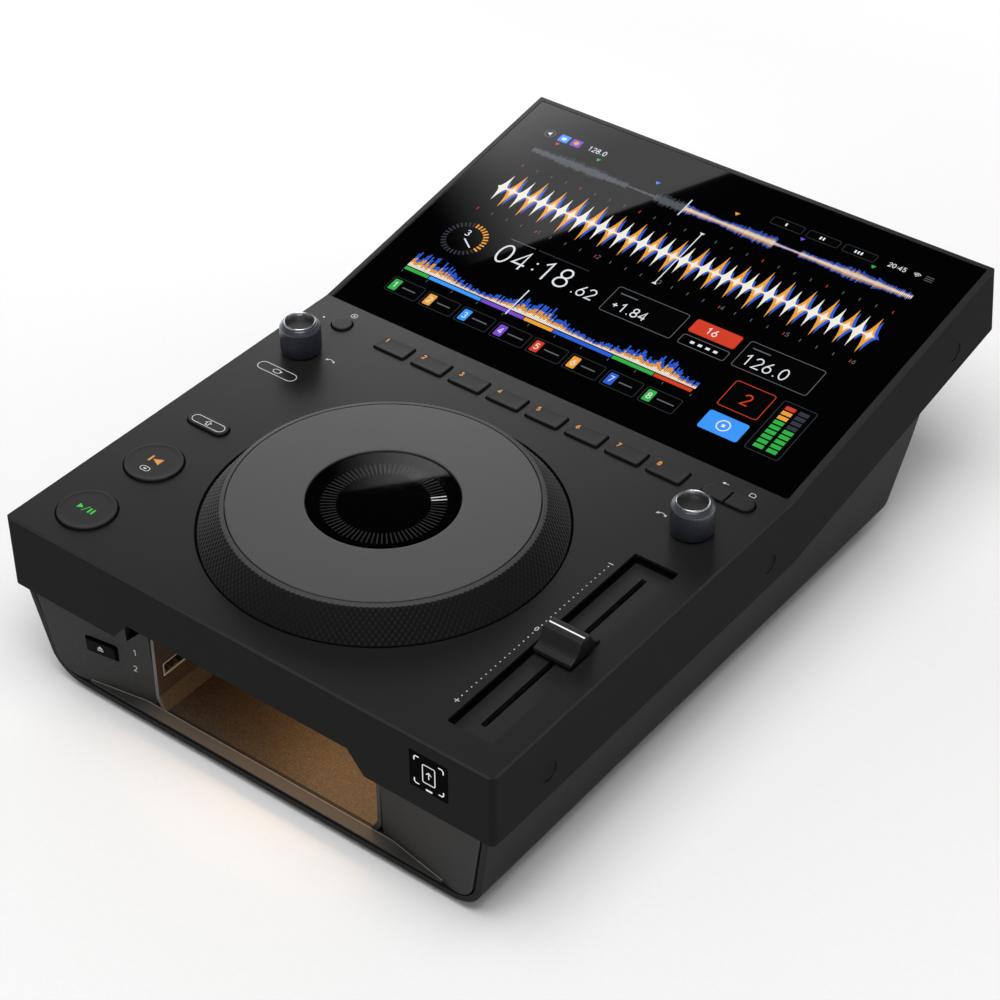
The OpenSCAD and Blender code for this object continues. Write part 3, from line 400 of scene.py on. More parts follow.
# White, red and orange polypropylene rings: dull and a little waxy.
ring_colours = {"ring_white": "#d9d7cf", "ring_red": "#a3181c", "ring_orange": "#c8621a"}
for (ring_name, code), rx in zip(ring_colours.items(), (22, 40, 68)):
    ring_plastic, tree = new_material(ring_name + "_polypropylene")
    spot = add_node(tree, "ShaderNodeTexCoord")
    wax = add_node(tree, "ShaderNodeTexNoise", {"Vector": spot.outputs["Object"],
                                                "Scale": 900.0})
    sheen = add_node(tree, "ShaderNodeMapRange", {"Value": wax.outputs["Fac"], "To Min": 0.35,
                                                  "To Max": 0.5})
    skin = add_node(tree, "ShaderNodeBsdfPrincipled", {
        "Base Color": colour(code), "Roughness": sheen.outputs["Result"],
        "Subsurface Weight": 0.15, "Subsurface Scale": 0.002})
    add_node(tree, "ShaderNodeOutputMaterial", {"Surface": skin.outputs["BSDF"]})
    washer = [(4.7, 0.02), (6.6, 0.02), (6.6, 0.9), (6.3, 1.2), (4.7, 1.2)]
    make_piece(ring_name, [([[(rx + x, -62 + y, z) for x, y, z in circle(r, z)]
                             for r, z in washer], "looped")],
               ring_plastic, "chassis", at=rear)

# Eight gilt springs in the network jack and a green and an amber lamp above them.
springs = [([[(-24 - 3.57 + 1.02 * i + dx, -62.5 + 3.4 - dy, z) for dx, dy in
              ((-0.2, -0.15), (0.2, -0.15), (0.2, 0.15), (-0.2, 0.15))]
             for z, dy in ((-11.4, 0.2), (-9, 0.2), (-6, 2.2), (-4.4, 2.6))], "capped")
           for i in range(8)]
make_piece("network_springs", springs, gold_plate, "chassis", at=rear)

for lamp_name, lamp_x, code in (("lamp_green", -29.6, "#2f8a3c"), ("lamp_amber", -18.4, "#b5781c")):
    lamp_lens, tree = new_material(lamp_name + "_tinted_epoxy")
    # The lens's colour fades to near black towards its outline, by the angle it is seen at: painted
    # shade.
    edge = add_node(tree, "ShaderNodeLayerWeight", {"Blend": 0.4})
    tone = add_node(tree, "ShaderNodeMix", {"Factor": edge.outputs["Facing"],
                                            6: colour(code), 7: colour("#101010")},
                    data_type="RGBA")
    skin = add_node(tree, "ShaderNodeBsdfPrincipled", {"Base Color": tone.outputs[2],
                                                       "Roughness": 0.12})
    add_node(tree, "ShaderNodeOutputMaterial", {"Surface": skin.outputs["BSDF"]})
    make_piece(lamp_name, [([[(lamp_x + x, -57.2 + y, z) for x, y in
                              ((-w, -h), (w, -h), (w, h), (-w, h))]
                             for z, w, h in ((0.3, 1.4, 0.9), (0.7, 1.4, 0.9), (0.95, 1.1, 0.6))],
                            "capped")], lamp_lens, "chassis", at=rear)

rear_screws = [([[(sx + x, sz + y, z) for x, y, z in ring]
                 for ring in screw_head(2.7, 1.4, 1.3, 6)], "capped")
               for sx, sz in ((-104, -50), (104, -50), (-34, -72), (82, -72))]
make_piece("rear_screw_set", rear_screws, zinc_steel, "chassis", at=rear,
           instead_of="rear_screws")


# ---- Marks ----
# Pad-printed signs are flat closed shapes 0.03 mm thick. White ink shows a warm grey on
# black plastic, and lit signs glow a little.

def ribbon(points, width, low, high, closed=False):
    """Band of even width along a line, as a shell of four-point rings."""
    count, rings = len(points), []
    for i, (x, y) in enumerate(points):
        ahead = points[(i + 1) % count] if closed or i < count - 1 else points[i]
        behind = points[i - 1] if closed or i else points[i]
        first = Vector((x - behind[0], y - behind[1]))
        second = Vector((ahead[0] - x, ahead[1] - y))
        first = first.normalized() if first.length > 1e-6 else second.normalized()
        second = second.normalized() if second.length > 1e-6 else first
        along = (first + second).normalized()
        half = width / 2 / max(along.dot(second), 0.5)
        nx, ny = -along.y * half, along.x * half
        rings.append([(x - nx, y - ny, low), (x + nx, y + ny, low),
                      (x + nx, y + ny, high), (x - nx, y - ny, high)])
    return rings, "looped" if closed else "capped"


def plate(points, low, high):
    return [[(x, y, low) for x, y in points], [(x, y, high) for x, y in points]], "capped"


def arc(x, y, rx, ry, start, end, steps=16):
    return [(x + rx * math.cos(math.radians(start + (end - start) * k / steps)),
             y + ry * math.sin(math.radians(start + (end - start) * k / steps)))
            for k in range(steps + 1)]


# Digits as single lines in a box 0.6 wide and 1 high.
STROKES = {
    "0": [arc(0.3, 0.5, 0.27, 0.49, 90, 450, 24)],
    "1": [[(0.1, 0.78), (0.34, 0.99), (0.34, 0.01)]],
    "2": [arc(0.3, 0.72, 0.26, 0.27, 165, -35, 12) + [(0.04, 0.01), (0.57, 0.01)]],
    "3": [arc(0.28, 0.74, 0.24, 0.25, 150, -90, 12), arc(0.28, 0.26, 0.28, 0.25, 90, -150, 12)],
    "4": [[(0.44, 0.01), (0.44, 0.99), (0.03, 0.28), (0.58, 0.28)]],
    "5": [[(0.53, 0.99), (0.12, 0.99), (0.09, 0.56)] + arc(0.28, 0.33, 0.28, 0.32, 128, -150, 14)],
    "6": [[(0.46, 0.99), (0.1, 0.5)], arc(0.3, 0.3, 0.26, 0.29, 0, 360, 20)],
    "7": [[(0.03, 0.99), (0.57, 0.99), (0.2, 0.01)]],
    "8": [arc(0.3, 0.75, 0.22, 0.24, 0, 360, 18), arc(0.3, 0.26, 0.27, 0.25, 0, 360, 18)],
    "9": [[(0.14, 0.01), (0.5, 0.5)], arc(0.3, 0.7, 0.26, 0.29, 0, 360, 20)],
    ":": [[(0.14, 0.3), (0.22, 0.3)], [(0.14, 0.66), (0.22, 0.66)]],
    ".": [[(0.1, 0.04), (0.2, 0.04)]],
    "+": [[(0.08, 0.5), (0.52, 0.5)], [(0.3, 0.28), (0.3, 0.72)]],
    "-": [[(0.1, 0.5), (0.5, 0.5)]],
}


def digits(text, x, y, size, width, low, high, spacing=0.78):
    shells = []
    for mark in text:
        for line in STROKES[mark]:
            shells.append(ribbon([(x + px * size, y + py * size) for px, py in line], width,
                                 low, high))
        x += size * (0.42 if mark in ":." else spacing)
    return shells


INK = (-0.02, 0.03)

# Pad-printing ink: off-white, matt, a touch uneven where the film is thin.
white_ink, tree = new_material("white_pad_print_ink")
spot = add_node(tree, "ShaderNodeTexCoord")
film = add_node(tree, "ShaderNodeTexNoise", {"Vector": spot.outputs["Object"], "Scale": 2500.0})
tone = add_node(tree, "ShaderNodeMix", {"Factor": film.outputs["Fac"],
                                        6: colour("#c2c2c2"), 7: colour("#dedede")},
                data_type="RGBA")
skin = add_node(tree, "ShaderNodeBsdfPrincipled", {"Base Color": tone.outputs[2],
                                                   "Roughness": 0.55})
add_node(tree, "ShaderNodeOutputMaterial", {"Surface": skin.outputs["BSDF"]})


def sign_material(name, code, strength):
    """Lit sign: translucent white plastic under the key's paint, lamp behind."""
    material, tree = new_material(name)
    spot = add_node(tree, "ShaderNodeTexCoord")
    haze = add_node(tree, "ShaderNodeTexNoise", {"Vector": spot.outputs["Object"],
                                                 "Scale": 700.0})
    even = add_node(tree, "ShaderNodeMapRange", {"Value": haze.outputs["Fac"],
                                                 "To Min": 0.8 * strength, "To Max": strength})
    skin = add_node(tree, "ShaderNodeBsdfPrincipled", {
        "Base Color": colour("#202020"), "Roughness": 0.4, "Emission Color": colour(code),
        "Emission Strength": even.outputs["Result"]})
    add_node(tree, "ShaderNodeOutputMaterial", {"Surface": skin.outputs["BSDF"]})
    return material


white_sign = sign_material("white_lit_sign", "#ffffff", 0.8)


# ---- Front bay ----
# Two moulded wings slope back to a lined box with an amber light guide in its ceiling. The
# left wall carries a flat socket; the left wing an eject key and a pocket with a small one.

# Moulded ABS with a coarse spark-eroded skin, 0.3 mm grains drawn at 0.7 mm: a dry dark grey.
wing_abs, tree = new_material("textured_abs")
spot = add_node(tree, "ShaderNodeTexCoord")
grain = add_node(tree, "ShaderNodeTexNoise", {"Vector": spot.outputs["Object"], "Scale": 1400.0,
                                              "Detail": 3.0, "Roughness": 0.6})
fleck = add_node(tree, "ShaderNodeMapRange", {"Value": grain.outputs["Fac"], "From Min": 0.35,
                                              "From Max": 0.68})
tone = add_node(tree, "ShaderNodeMix", {"Factor": fleck.outputs["Result"],
                                        6: colour("#202020"), 7: colour("#302f2e")},
                data_type="RGBA")
sand = add_node(tree, "ShaderNodeBump", {"Height": grain.outputs["Fac"], "Strength": 0.4,
                                         "Distance": 0.0001})
skin = add_node(tree, "ShaderNodeBsdfPrincipled", {
    "Base Color": tone.outputs[2], "Roughness": 0.6, "Specular IOR Level": 0.3,
    "Normal": sand.outputs["Normal"]})
add_node(tree, "ShaderNodeOutputMaterial", {"Surface": skin.outputs["BSDF"]})
dress(wing_abs, "front_fascia", "screen_back_cover")

# Bronze metallic paint on the liner: brown with bright flakes, 0.4 mm drawn at 0.8 mm; its
# warm brown is also painted light, the amber glow of the bay's lamp. Its front rim is bare
# grey, painted lighter on the left and darker to the right: painted light and shade.
bronze_paint_and_glow, tree = new_material("bronze_paint_with_painted_amber_glow")
spot = add_node(tree, "ShaderNodeTexCoord")
flakes = add_node(tree, "ShaderNodeTexNoise", {"Vector": spot.outputs["Object"],
                                               "Scale": 1300.0, "Detail": 2.0})
shine = add_node(tree, "ShaderNodeMapRange", {"Value": flakes.outputs["Fac"],
                                              "From Min": 0.4, "From Max": 0.75})
# The brown tones carry the bay lamp's amber glow as painted light.
tone = add_node(tree, "ShaderNodeMix", {"Factor": shine.outputs["Result"],
                                        6: colour("#423931"), 7: colour("#605443")},
                data_type="RGBA")
facing = add_node(tree, "ShaderNodeSeparateXYZ", {"Vector": spot.outputs["Normal"]})
front_rim = add_node(tree, "ShaderNodeMapRange", {"Value": facing.outputs["Y"],
                                                  "From Min": -0.8, "From Max": -0.95})
across = add_node(tree, "ShaderNodeSeparateXYZ", {"Vector": spot.outputs["Object"]})
# Painted light and shade on the rim: lighter on the left, darker to the right.
painted_rim_shade = add_node(tree, "ShaderNodeMapRange", {"Value": across.outputs["X"],
                                                  "From Min": -0.03, "From Max": 0.03})
grey = add_node(tree, "ShaderNodeMix", {"Factor": painted_rim_shade.outputs["Result"],
                                        6: colour("#68645f"), 7: colour("#282727")},
                data_type="RGBA")
paint = add_node(tree, "ShaderNodeMix", {"Factor": front_rim.outputs["Result"],
                                         6: tone.outputs[2], 7: grey.outputs[2]},
                 data_type="RGBA")
sand = add_node(tree, "ShaderNodeBump", {"Height": flakes.outputs["Fac"], "Strength": 0.2,
                                         "Distance": 0.0001})
skin = add_node(tree, "ShaderNodeBsdfPrincipled", {
    "Base Color": paint.outputs[2], "Metallic": 0.2, "Roughness": 0.5,
    "Normal": sand.outputs["Normal"]})
add_node(tree, "ShaderNodeOutputMaterial", {"Surface": skin.outputs["BSDF"]})
dress(bronze_paint_and_glow, "bay_liner")

# Diffusing acrylic over amber lamps: a warm glow with a faint uneven haze.
light_guide, tree = new_material("amber_lit_acrylic")
spot = add_node(tree, "ShaderNodeTexCoord")
haze = add_node(tree, "ShaderNodeTexNoise", {"Vector": spot.outputs["Object"], "Scale": 60.0})
lit = add_node(tree, "ShaderNodeMapRange", {"Value": haze.outputs["Fac"], "To Min": 1.6,
                                            "To Max": 2.4})
skin = add_node(tree, "ShaderNodeBsdfPrincipled", {
    "Base Color": colour("#c79a5a"), "Roughness": 0.4, "Emission Color": colour("#ffb45a"),
    "Emission Strength": lit.outputs["Result"]})
add_node(tree, "ShaderNodeOutputMaterial", {"Surface": skin.outputs["BSDF"]})
dress(light_guide, "bay_light_bar")

soft_box("bay_glow", deck(22, 46, -39.5), deck(22, 44, -78), (0.07, 0.03), 4.5, "#ffd09a")

# White tongue of the flat socket with four gilt contacts.
socket_tongue, tree = new_material("white_nylon")
spot = add_node(tree, "ShaderNodeTexCoord")
wax = add_node(tree, "ShaderNodeTexNoise", {"Vector": spot.outputs["Object"], "Scale": 1200.0})
sheen = add_node(tree, "ShaderNodeMapRange", {"Value": wax.outputs["Fac"], "To Min": 0.35,
                                              "To Max": 0.5})
skin = add_node(tree, "ShaderNodeBsdfPrincipled", {"Base Color": colour("#c9c4b8"),
                                                   "Roughness": sheen.outputs["Result"]})
add_node(tree, "ShaderNodeOutputMaterial", {"Surface": skin.outputs["BSDF"]})


def bay_wall(x, y, z):
    """Out of the bay's left wall: x back along it, y up, z out into the bay."""
    return deck(-58.7 + z, 22.8 + x, -59.4 + y)


tongue = [plate([(-5.3, 0.45), (5.3, 0.45), (5.3, 2.15), (-5.3, 2.15)], -15, -1.9)]
make_piece("bay_socket_tongue", tongue, socket_tongue, "chassis", at=bay_wall)
contacts = [plate([(cx - 0.5, 0.3), (cx + 0.5, 0.3), (cx + 0.5, 0.46), (cx - 0.5, 0.46)],
                  -12, -2.6) for cx in (-3.5, -1.1, 1.1, 3.5)]
make_piece("bay_socket_contacts", contacts, gold_plate, "chassis", at=bay_wall)
# Rolled rim where the shell meets the wall.
rim = [ribbon([(-6.75, -3.05), (6.75, -3.05), (6.75, 3.05), (-6.75, 3.05)], 0.5, -0.2, 0.35,
              closed=True)]
# Nickel plate, blasted: pale, dull, a little warm.
dull_nickel, tree = new_material("blasted_nickel_plate")
spot = add_node(tree, "ShaderNodeTexCoord")
blast = add_node(tree, "ShaderNodeTexNoise", {"Vector": spot.outputs["Object"], "Scale": 2200.0})
tone = add_node(tree, "ShaderNodeMix", {"Factor": blast.outputs["Fac"],
                                        6: colour("#c9c2ba"), 7: colour("#eee7de")},
                data_type="RGBA")
skin = add_node(tree, "ShaderNodeBsdfPrincipled", {"Base Color": tone.outputs[2],
                                                   "Metallic": 0.15, "Roughness": 0.5})
add_node(tree, "ShaderNodeOutputMaterial", {"Surface": skin.outputs["BSDF"]})
make_piece("bay_socket_rim", rim, dull_nickel, "chassis", at=bay_wall)

mouth_y = 12
wing_slope = math.radians(8.25)
wing_lean = math.radians(2)
wing_mid = -57.25


def wing(x, z, out=0.0):
    """Point of the left wing: x from the middle (negative), z in its own slope, out of it."""
    y = -(abs(x) - 60.5) * math.tan(wing_slope) - out
    dz = z - wing_mid
    return deck(x, mouth_y + y * math.cos(wing_lean) - dz * math.sin(wing_lean),
                wing_mid + y * math.sin(wing_lean) + dz * math.cos(wing_lean))


def rounded(width, depth, radius, inset=0.0, steps=6):
    """Outline of a rounded rectangle, moved inwards by inset."""
    radius = max(radius - inset, 0.05)
    cx, cy = width / 2 - inset - radius, depth / 2 - inset - radius
    points = []
    for turn, (sx, sy) in enumerate(((1, 1), (-1, 1), (-1, -1), (1, -1))):
        for k in range(steps + 1):
            a = math.radians(90 * (turn + k / steps))
            point = (sx * cx + radius * math.cos(a), sy * cy + radius * math.sin(a))
            if not points or math.dist(point, points[-1]) > 1e-6:
                points.append(point)
    return points if math.dist(points[0], points[-1]) > 1e-6 else points[:-1]


def stack(outline, rows):
    """Rings of one outline at each inset and height."""
    return [[(x, y, z) for x, y in outline(inset)] for inset, z in rows]


def fillet(top, radius, steps=5, inset=0.0):
    """Insets and heights of a rounded top edge."""
    return [(inset + radius * (1 - math.cos(math.radians(90 * k / steps))),
             top - radius + radius * math.sin(math.radians(90 * k / steps)))
            for k in range(steps + 1)]


# Moulded ABS, fine satin skin: the black of every key, warmer and smoother than the deck.
key_abs, tree = new_material("satin_key_abs")
spot = add_node(tree, "ShaderNodeTexCoord")
grain = add_node(tree, "ShaderNodeTexNoise", {"Vector": spot.outputs["Object"], "Scale": 2600.0,
                                              "Detail": 2.0})
sheen = add_node(tree, "ShaderNodeMapRange", {"Value": grain.outputs["Fac"], "To Min": 0.36,
                                              "To Max": 0.5})
skin = add_node(tree, "ShaderNodeBsdfPrincipled", {
    "Base Color": colour("#222222"), "Roughness": sheen.outputs["Result"],
    "Specular IOR Level": 0.19})
add_node(tree, "ShaderNodeOutputMaterial", {"Surface": skin.outputs["BSDF"]})


# The eject key is unpainted matt black ABS, 0.3 mm grains drawn at 0.6 mm.
matt_abs, tree = new_material("matt_black_abs")
spot = add_node(tree, "ShaderNodeTexCoord")
grain = add_node(tree, "ShaderNodeTexNoise", {"Vector": spot.outputs["Object"], "Scale": 1600.0,
                                              "Detail": 2.0})
tone = add_node(tree, "ShaderNodeMix", {"Factor": grain.outputs["Fac"],
                                        6: colour("#030303"), 7: colour("#0c0c0c")},
                data_type="RGBA")
skin = add_node(tree, "ShaderNodeBsdfPrincipled", {"Base Color": tone.outputs[2],
                                                   "Roughness": 0.7, "Specular IOR Level": 0.08})
add_node(tree, "ShaderNodeOutputMaterial", {"Surface": skin.outputs["BSDF"]})


def eject_place(x, y, z):
    """On the eject key: x across, y up, z out of the wing."""
    px = -85.6 + x * math.cos(wing_slope)
    return wing(px, -56.5 + y, z / math.cos(wing_slope))


eject_shells = [
    (stack(lambda inset: rounded(14.6, 6.8, 1.0, inset), [(0, -3)] + fillet(1.2, 0.5)
           + [(2.2, 1.12)]), "capped"),
    (stack(lambda inset: rounded(18.6, 10.4, 0.4, inset), [(0, -3.9), (0, -2.55)]), "capped"),
    (stack(lambda inset: rounded(3, 3, 1.5, inset), [(0, -8), (0, -2.6)]), "capped")]
make_piece("eject_key_cap", eject_shells, matt_abs, "eject_key", at=eject_place,
           instead_of="eject_button")
# Eject sign: a triangle over a bar.
make_piece("eject_sign",
           [plate([(-1.5, 0.1), (1.5, 0.1), (0, 1.7)], 1.08, 1.15),
            plate([(-1.5, -1.0), (1.5, -1.0), (1.5, -0.4), (-1.5, -0.4)], 1.08, 1.15)],
           white_ink, "eject_key", at=eject_place)

# A strip over the lip below the bay carries painted light: lighter brown-grey in the middle,
# where the bay's glow falls, and dark grey under the wings. Pale lines along its edges are
# painted highlights.
lip_front, lip_back, lip_rise = 7.16, 12.0, 1 / 4.84
near_wing, far_wing = 65.7, 94.0


def lip(x, y, z):
    return deck(x, y, -78 - (lip_back - y) * lip_rise + z)


# Painted light of the bay on the lip: brown-grey in the middle, dark grey under the wings.
lip_painted_light, tree = new_material("lip_strip_painted_bay_light")
spot = add_node(tree, "ShaderNodeTexCoord")
grain = add_node(tree, "ShaderNodeTexNoise", {"Vector": spot.outputs["Object"], "Scale": 1400.0,
                                              "Detail": 3.0})
place = add_node(tree, "ShaderNodeSeparateXYZ", {"Vector": spot.outputs["Object"]})
sideways = add_node(tree, "ShaderNodeMath", {0: place.outputs["X"]}, operation="ABSOLUTE")
under_wing = add_node(tree, "ShaderNodeMapRange", {"Value": sideways.outputs["Value"],
                                                   "From Min": 0.052, "From Max": 0.072})
fleck = add_node(tree, "ShaderNodeMapRange", {"Value": grain.outputs["Fac"], "To Min": -0.12,
                                              "To Max": 0.12})
mixed = add_node(tree, "ShaderNodeMath", {0: under_wing.outputs["Result"],
                                          1: fleck.outputs["Result"]}, operation="ADD")
tone = add_node(tree, "ShaderNodeMix", {"Factor": mixed.outputs["Value"],
                                        6: colour("#60584f"), 7: colour("#343332")},
                data_type="RGBA")
skin = add_node(tree, "ShaderNodeBsdfPrincipled", {"Base Color": tone.outputs[2],
                                                   "Roughness": 0.6, "Specular IOR Level": 0.3})
add_node(tree, "ShaderNodeOutputMaterial", {"Surface": skin.outputs["BSDF"]})
strip = [(-near_wing, lip_back), (-far_wing, 7.9), (-far_wing, lip_front), (far_wing, lip_front),
         (far_wing, 7.9), (near_wing, lip_back)]
make_piece("lip_strip", [plate(strip, -0.05, 0.12)], lip_painted_light, "chassis", at=lip)

# Painted highlight: pale lines along the lip's edges, where a chamfer would catch the light.
edge_highlight_paint, tree = new_material("painted_edge_highlight")
spot = add_node(tree, "ShaderNodeTexCoord")
highlight_mottle = add_node(tree, "ShaderNodeTexNoise", {"Vector": spot.outputs["Object"], "Scale": 300.0,
                                            "Detail": 3.0})
tone = add_node(tree, "ShaderNodeMix", {"Factor": highlight_mottle.outputs["Fac"],
                                        6: colour("#6d6861"), 7: colour("#a49c92")},
                data_type="RGBA")
skin = add_node(tree, "ShaderNodeBsdfPrincipled", {"Base Color": tone.outputs[2],
                                                   "Roughness": 0.5})
add_node(tree, "ShaderNodeOutputMaterial", {"Surface": skin.outputs["BSDF"]})
highlight_lines = [ribbon([(side * far_wing, 7.85), (side * near_wing, lip_back - 0.05)], 0.42, 0.0, 0.35)
          for side in (-1, 1)]
highlight_lines.append(ribbon([(-near_wing, lip_back - 0.1), (near_wing, lip_back - 0.1)], 0.36, 0.0, 0.2))
make_piece("lip_edges", highlight_lines, edge_highlight_paint, "chassis", at=lip)

# A soffit closes the gap behind the cover's front band, above the wings and the bay.
soffit = [(-118, 2.8), (118, 2.8), (118, 9.6), (59, 9.6), (59, 11.8), (-59, 11.8), (-59, 9.6),
          (-118, 9.6)]
make_piece("front_soffit", [plate(soffit, -27.6, -26.4)], wing_abs, "chassis")

wing_signs = digits("1", -69.5, -53.2, 3.0, 0.42, *INK) + digits("2", -70.5, -62.6, 3.0, 0.42, *INK)
make_piece("socket_numbers", wing_signs, white_ink, "chassis",
           at=wing)


# ---- Boards and other parts inside ----
# Glass-epoxy boards with green solder mask, folded steel cans and plain mouldings. They
# show only through the vents and the bay.

# Solder mask over copper: deep green, lighter where 0.3 mm tracks run at right angles.
solder_mask, tree = new_material("solder_mask_on_epoxy")
spot = add_node(tree, "ShaderNodeTexCoord")
tracks = add_node(tree, "ShaderNodeTexBrick", {
    "Vector": spot.outputs["Object"], "Scale": 160.0, "Color1": colour("#0c3a1c"),
    "Color2": colour("#0f4522"), "Mortar": colour("#1d6434"), "Mortar Size": 0.06})
skin = add_node(tree, "ShaderNodeBsdfPrincipled", {"Base Color": tracks.outputs["Color"],
                                                   "Roughness": 0.32})
add_node(tree, "ShaderNodeOutputMaterial", {"Surface": skin.outputs["BSDF"]})
dress(solder_mask, "main_board", "power_supply", "control_board", "usb_board")
dress(zinc_steel, "board_screws", "fader_unit", "screen_module", "knob_encoders")
dress(black_nylon, "key_switches", "jog_sensor", "fader_carriage")

# Ground steel of the post, shafts and bearing: bright, with fine rings round the axis.
ground_steel, tree = new_material("ground_steel")
spot = add_node(tree, "ShaderNodeTexCoord")
rings = add_node(tree, "ShaderNodeTexWave", {"Vector": spot.outputs["Object"], "Scale": 1500.0},
                 bands_direction="Z")
ground = add_node(tree, "ShaderNodeBump", {"Height": rings.outputs["Fac"], "Strength": 0.1,
                                           "Distance": 0.00002})
skin = add_node(tree, "ShaderNodeBsdfPrincipled", {
    "Base Color": colour("#b9bbbe"), "Metallic": 1.0, "Roughness": 0.22,
    "Normal": ground.outputs["Normal"]})
add_node(tree, "ShaderNodeOutputMaterial", {"Surface": skin.outputs["BSDF"]})
dress(ground_steel, "jog_post", "jog_bearing", "loop_shaft", "browse_shaft")

# Die-cast zinc of the hub: pale grey, cloudy from the mould.
cast_zinc, tree = new_material("die_cast_zinc")
spot = add_node(tree, "ShaderNodeTexCoord")
cloud = add_node(tree, "ShaderNodeTexNoise", {"Vector": spot.outputs["Object"], "Scale": 180.0,
                                              "Detail": 5.0})
dull = add_node(tree, "ShaderNodeMapRange", {"Value": cloud.outputs["Fac"], "To Min": 0.4,
                                             "To Max": 0.6})
skin = add_node(tree, "ShaderNodeBsdfPrincipled", {
    "Base Color": colour("#8f9092"), "Metallic": 1.0, "Roughness": dull.outputs["Result"]})
add_node(tree, "ShaderNodeOutputMaterial", {"Surface": skin.outputs["BSDF"]})
dress(cast_zinc, "jog_hub", "jog_code_disc")
dress(key_abs, "jog_base")


# ---- Top cover ----
# One injection-moulded ABS cover: deck, side bands and screen frame. A fine spark-eroded
# skin makes it satin, and every outside edge has a small chamfer.

# Satin ABS: black, with a soft sheen on the deck and a duller skin on its upright sides,
# which are also painted darker as painted shade; 0.2 mm grain drawn at 0.5 mm.
satin_abs, tree = new_material("satin_black_abs")
spot = add_node(tree, "ShaderNodeTexCoord")
facing = add_node(tree, "ShaderNodeSeparateXYZ", {"Vector": spot.outputs["Normal"]})
upright_dull_and_shaded = add_node(tree, "ShaderNodeMapRange", {"Value": facing.outputs["Z"], "From Min": 0.75,
                                                "From Max": 0.3, "To Min": 0.0, "To Max": 0.5})
grain = add_node(tree, "ShaderNodeTexNoise", {"Vector": spot.outputs["Object"], "Scale": 2000.0,
                                              "Detail": 2.0})
handling = add_node(tree, "ShaderNodeTexNoise", {"Vector": spot.outputs["Object"],
                                                 "Scale": 18.0, "Detail": 4.0})
worn = add_node(tree, "ShaderNodeMapRange", {"Value": handling.outputs["Fac"], "To Min": 0.34,
                                             "To Max": 0.4})
sheen = add_node(tree, "ShaderNodeMath", {0: worn.outputs["Result"],
                                          1: upright_dull_and_shaded.outputs["Result"]}, operation="ADD")
# Painted shade: the upright sides get a darker black than the deck.
tone = add_node(tree, "ShaderNodeMix", {"Factor": upright_dull_and_shaded.outputs["Result"],
                                        6: colour("#1c1c1c"), 7: colour("#090909")},
                data_type="RGBA")
# The chamfers (45 degrees) and the tilted frame (10 degrees) are painted paler: painted highlights.
for height, spread, code in ((0.72, 0.13, "#303030"), (0.985, 0.006, "#2a2a2a")):
    turned = add_node(tree, "ShaderNodeMath", {0: facing.outputs["Z"], 1: height, 2: spread},
                      operation="COMPARE")
    tone = add_node(tree, "ShaderNodeMix", {"Factor": turned.outputs["Value"],
                                            6: tone.outputs[2], 7: colour(code)},
                    data_type="RGBA")
erosion = add_node(tree, "ShaderNodeBump", {"Height": grain.outputs["Fac"], "Strength": 0.12,
                                            "Distance": 0.00005})
skin = add_node(tree, "ShaderNodeBsdfPrincipled", {
    "Base Color": tone.outputs[2], "Roughness": sheen.outputs["Value"],
    "Specular IOR Level": 0.21, "Normal": erosion.outputs["Normal"]})
add_node(tree, "ShaderNodeOutputMaterial", {"Surface": skin.outputs["BSDF"]})
dress(satin_abs, "top_cover")


side_x = 125
plug_drop = 22.4
slope_plug = 130


def side_plug(side, y, z, tip):
    """Frame on a side plug: x and y in its face, z out of the side."""
    def at(u, v, out):
        base = deck(0, y, z) + Vector((0, math.cos(tip) * u - math.sin(tip) * v,
                                       math.sin(tip) * u + math.cos(tip) * v)) / 1000
        return base + Vector((side * (side_x + out) / 1000, 0, 0))
    return at


plug_rows = [(4.2, -1.2), (4.2, -0.55), (4.1, -0.38), (3.9, -0.3), (3.3, -0.3), (3.2, -0.42),
             (0.4, -0.42)]
slope_y = fold_y + slope_plug * math.cos(tilt) + plug_drop * math.sin(tilt)
slope_z = slope_plug * math.sin(tilt) - plug_drop * math.cos(tilt)
plug_points = []
for side in (-1, 1):
    for y, z, tip in ((34.5, -plug_drop, 0), (185.5, -plug_drop, 0), (slope_y, slope_z, tilt)):
        at = side_plug(side, y, z, tip)
        rings = [[at(*p) * 1000 for p in circle(r, out, 40)] for r, out in plug_rows]
        plug_points.append((rings, "capped"))
make_piece("side_plug_set", plug_points, satin_abs, "chassis",
           at=lambda x, y, z: Vector((x, y, z)) / 1000, instead_of="side_plugs")

# Tap window: smoked acrylic with a non-glare coat. A white bracket in each corner and a card
# sign are lit from behind it.
smoked_acrylic, tree = new_material("gloss_smoked_acrylic")
spot = add_node(tree, "ShaderNodeTexCoord")
smear = add_node(tree, "ShaderNodeTexNoise", {"Vector": spot.outputs["Object"], "Scale": 90.0,
                                              "Detail": 3.0})
polish = add_node(tree, "ShaderNodeMapRange", {"Value": smear.outputs["Fac"], "To Min": 0.05,
                                               "To Max": 0.09})
skin = add_node(tree, "ShaderNodeBsdfPrincipled", {
    "Base Color": colour("#010101"), "Roughness": polish.outputs["Result"],
    "Specular IOR Level": 0.01})
add_node(tree, "ShaderNodeOutputMaterial", {"Surface": skin.outputs["BSDF"]})


def tap_face(x, y, z):
    return deck(94.9 + x, 0.1 - z, -15.8 + y)


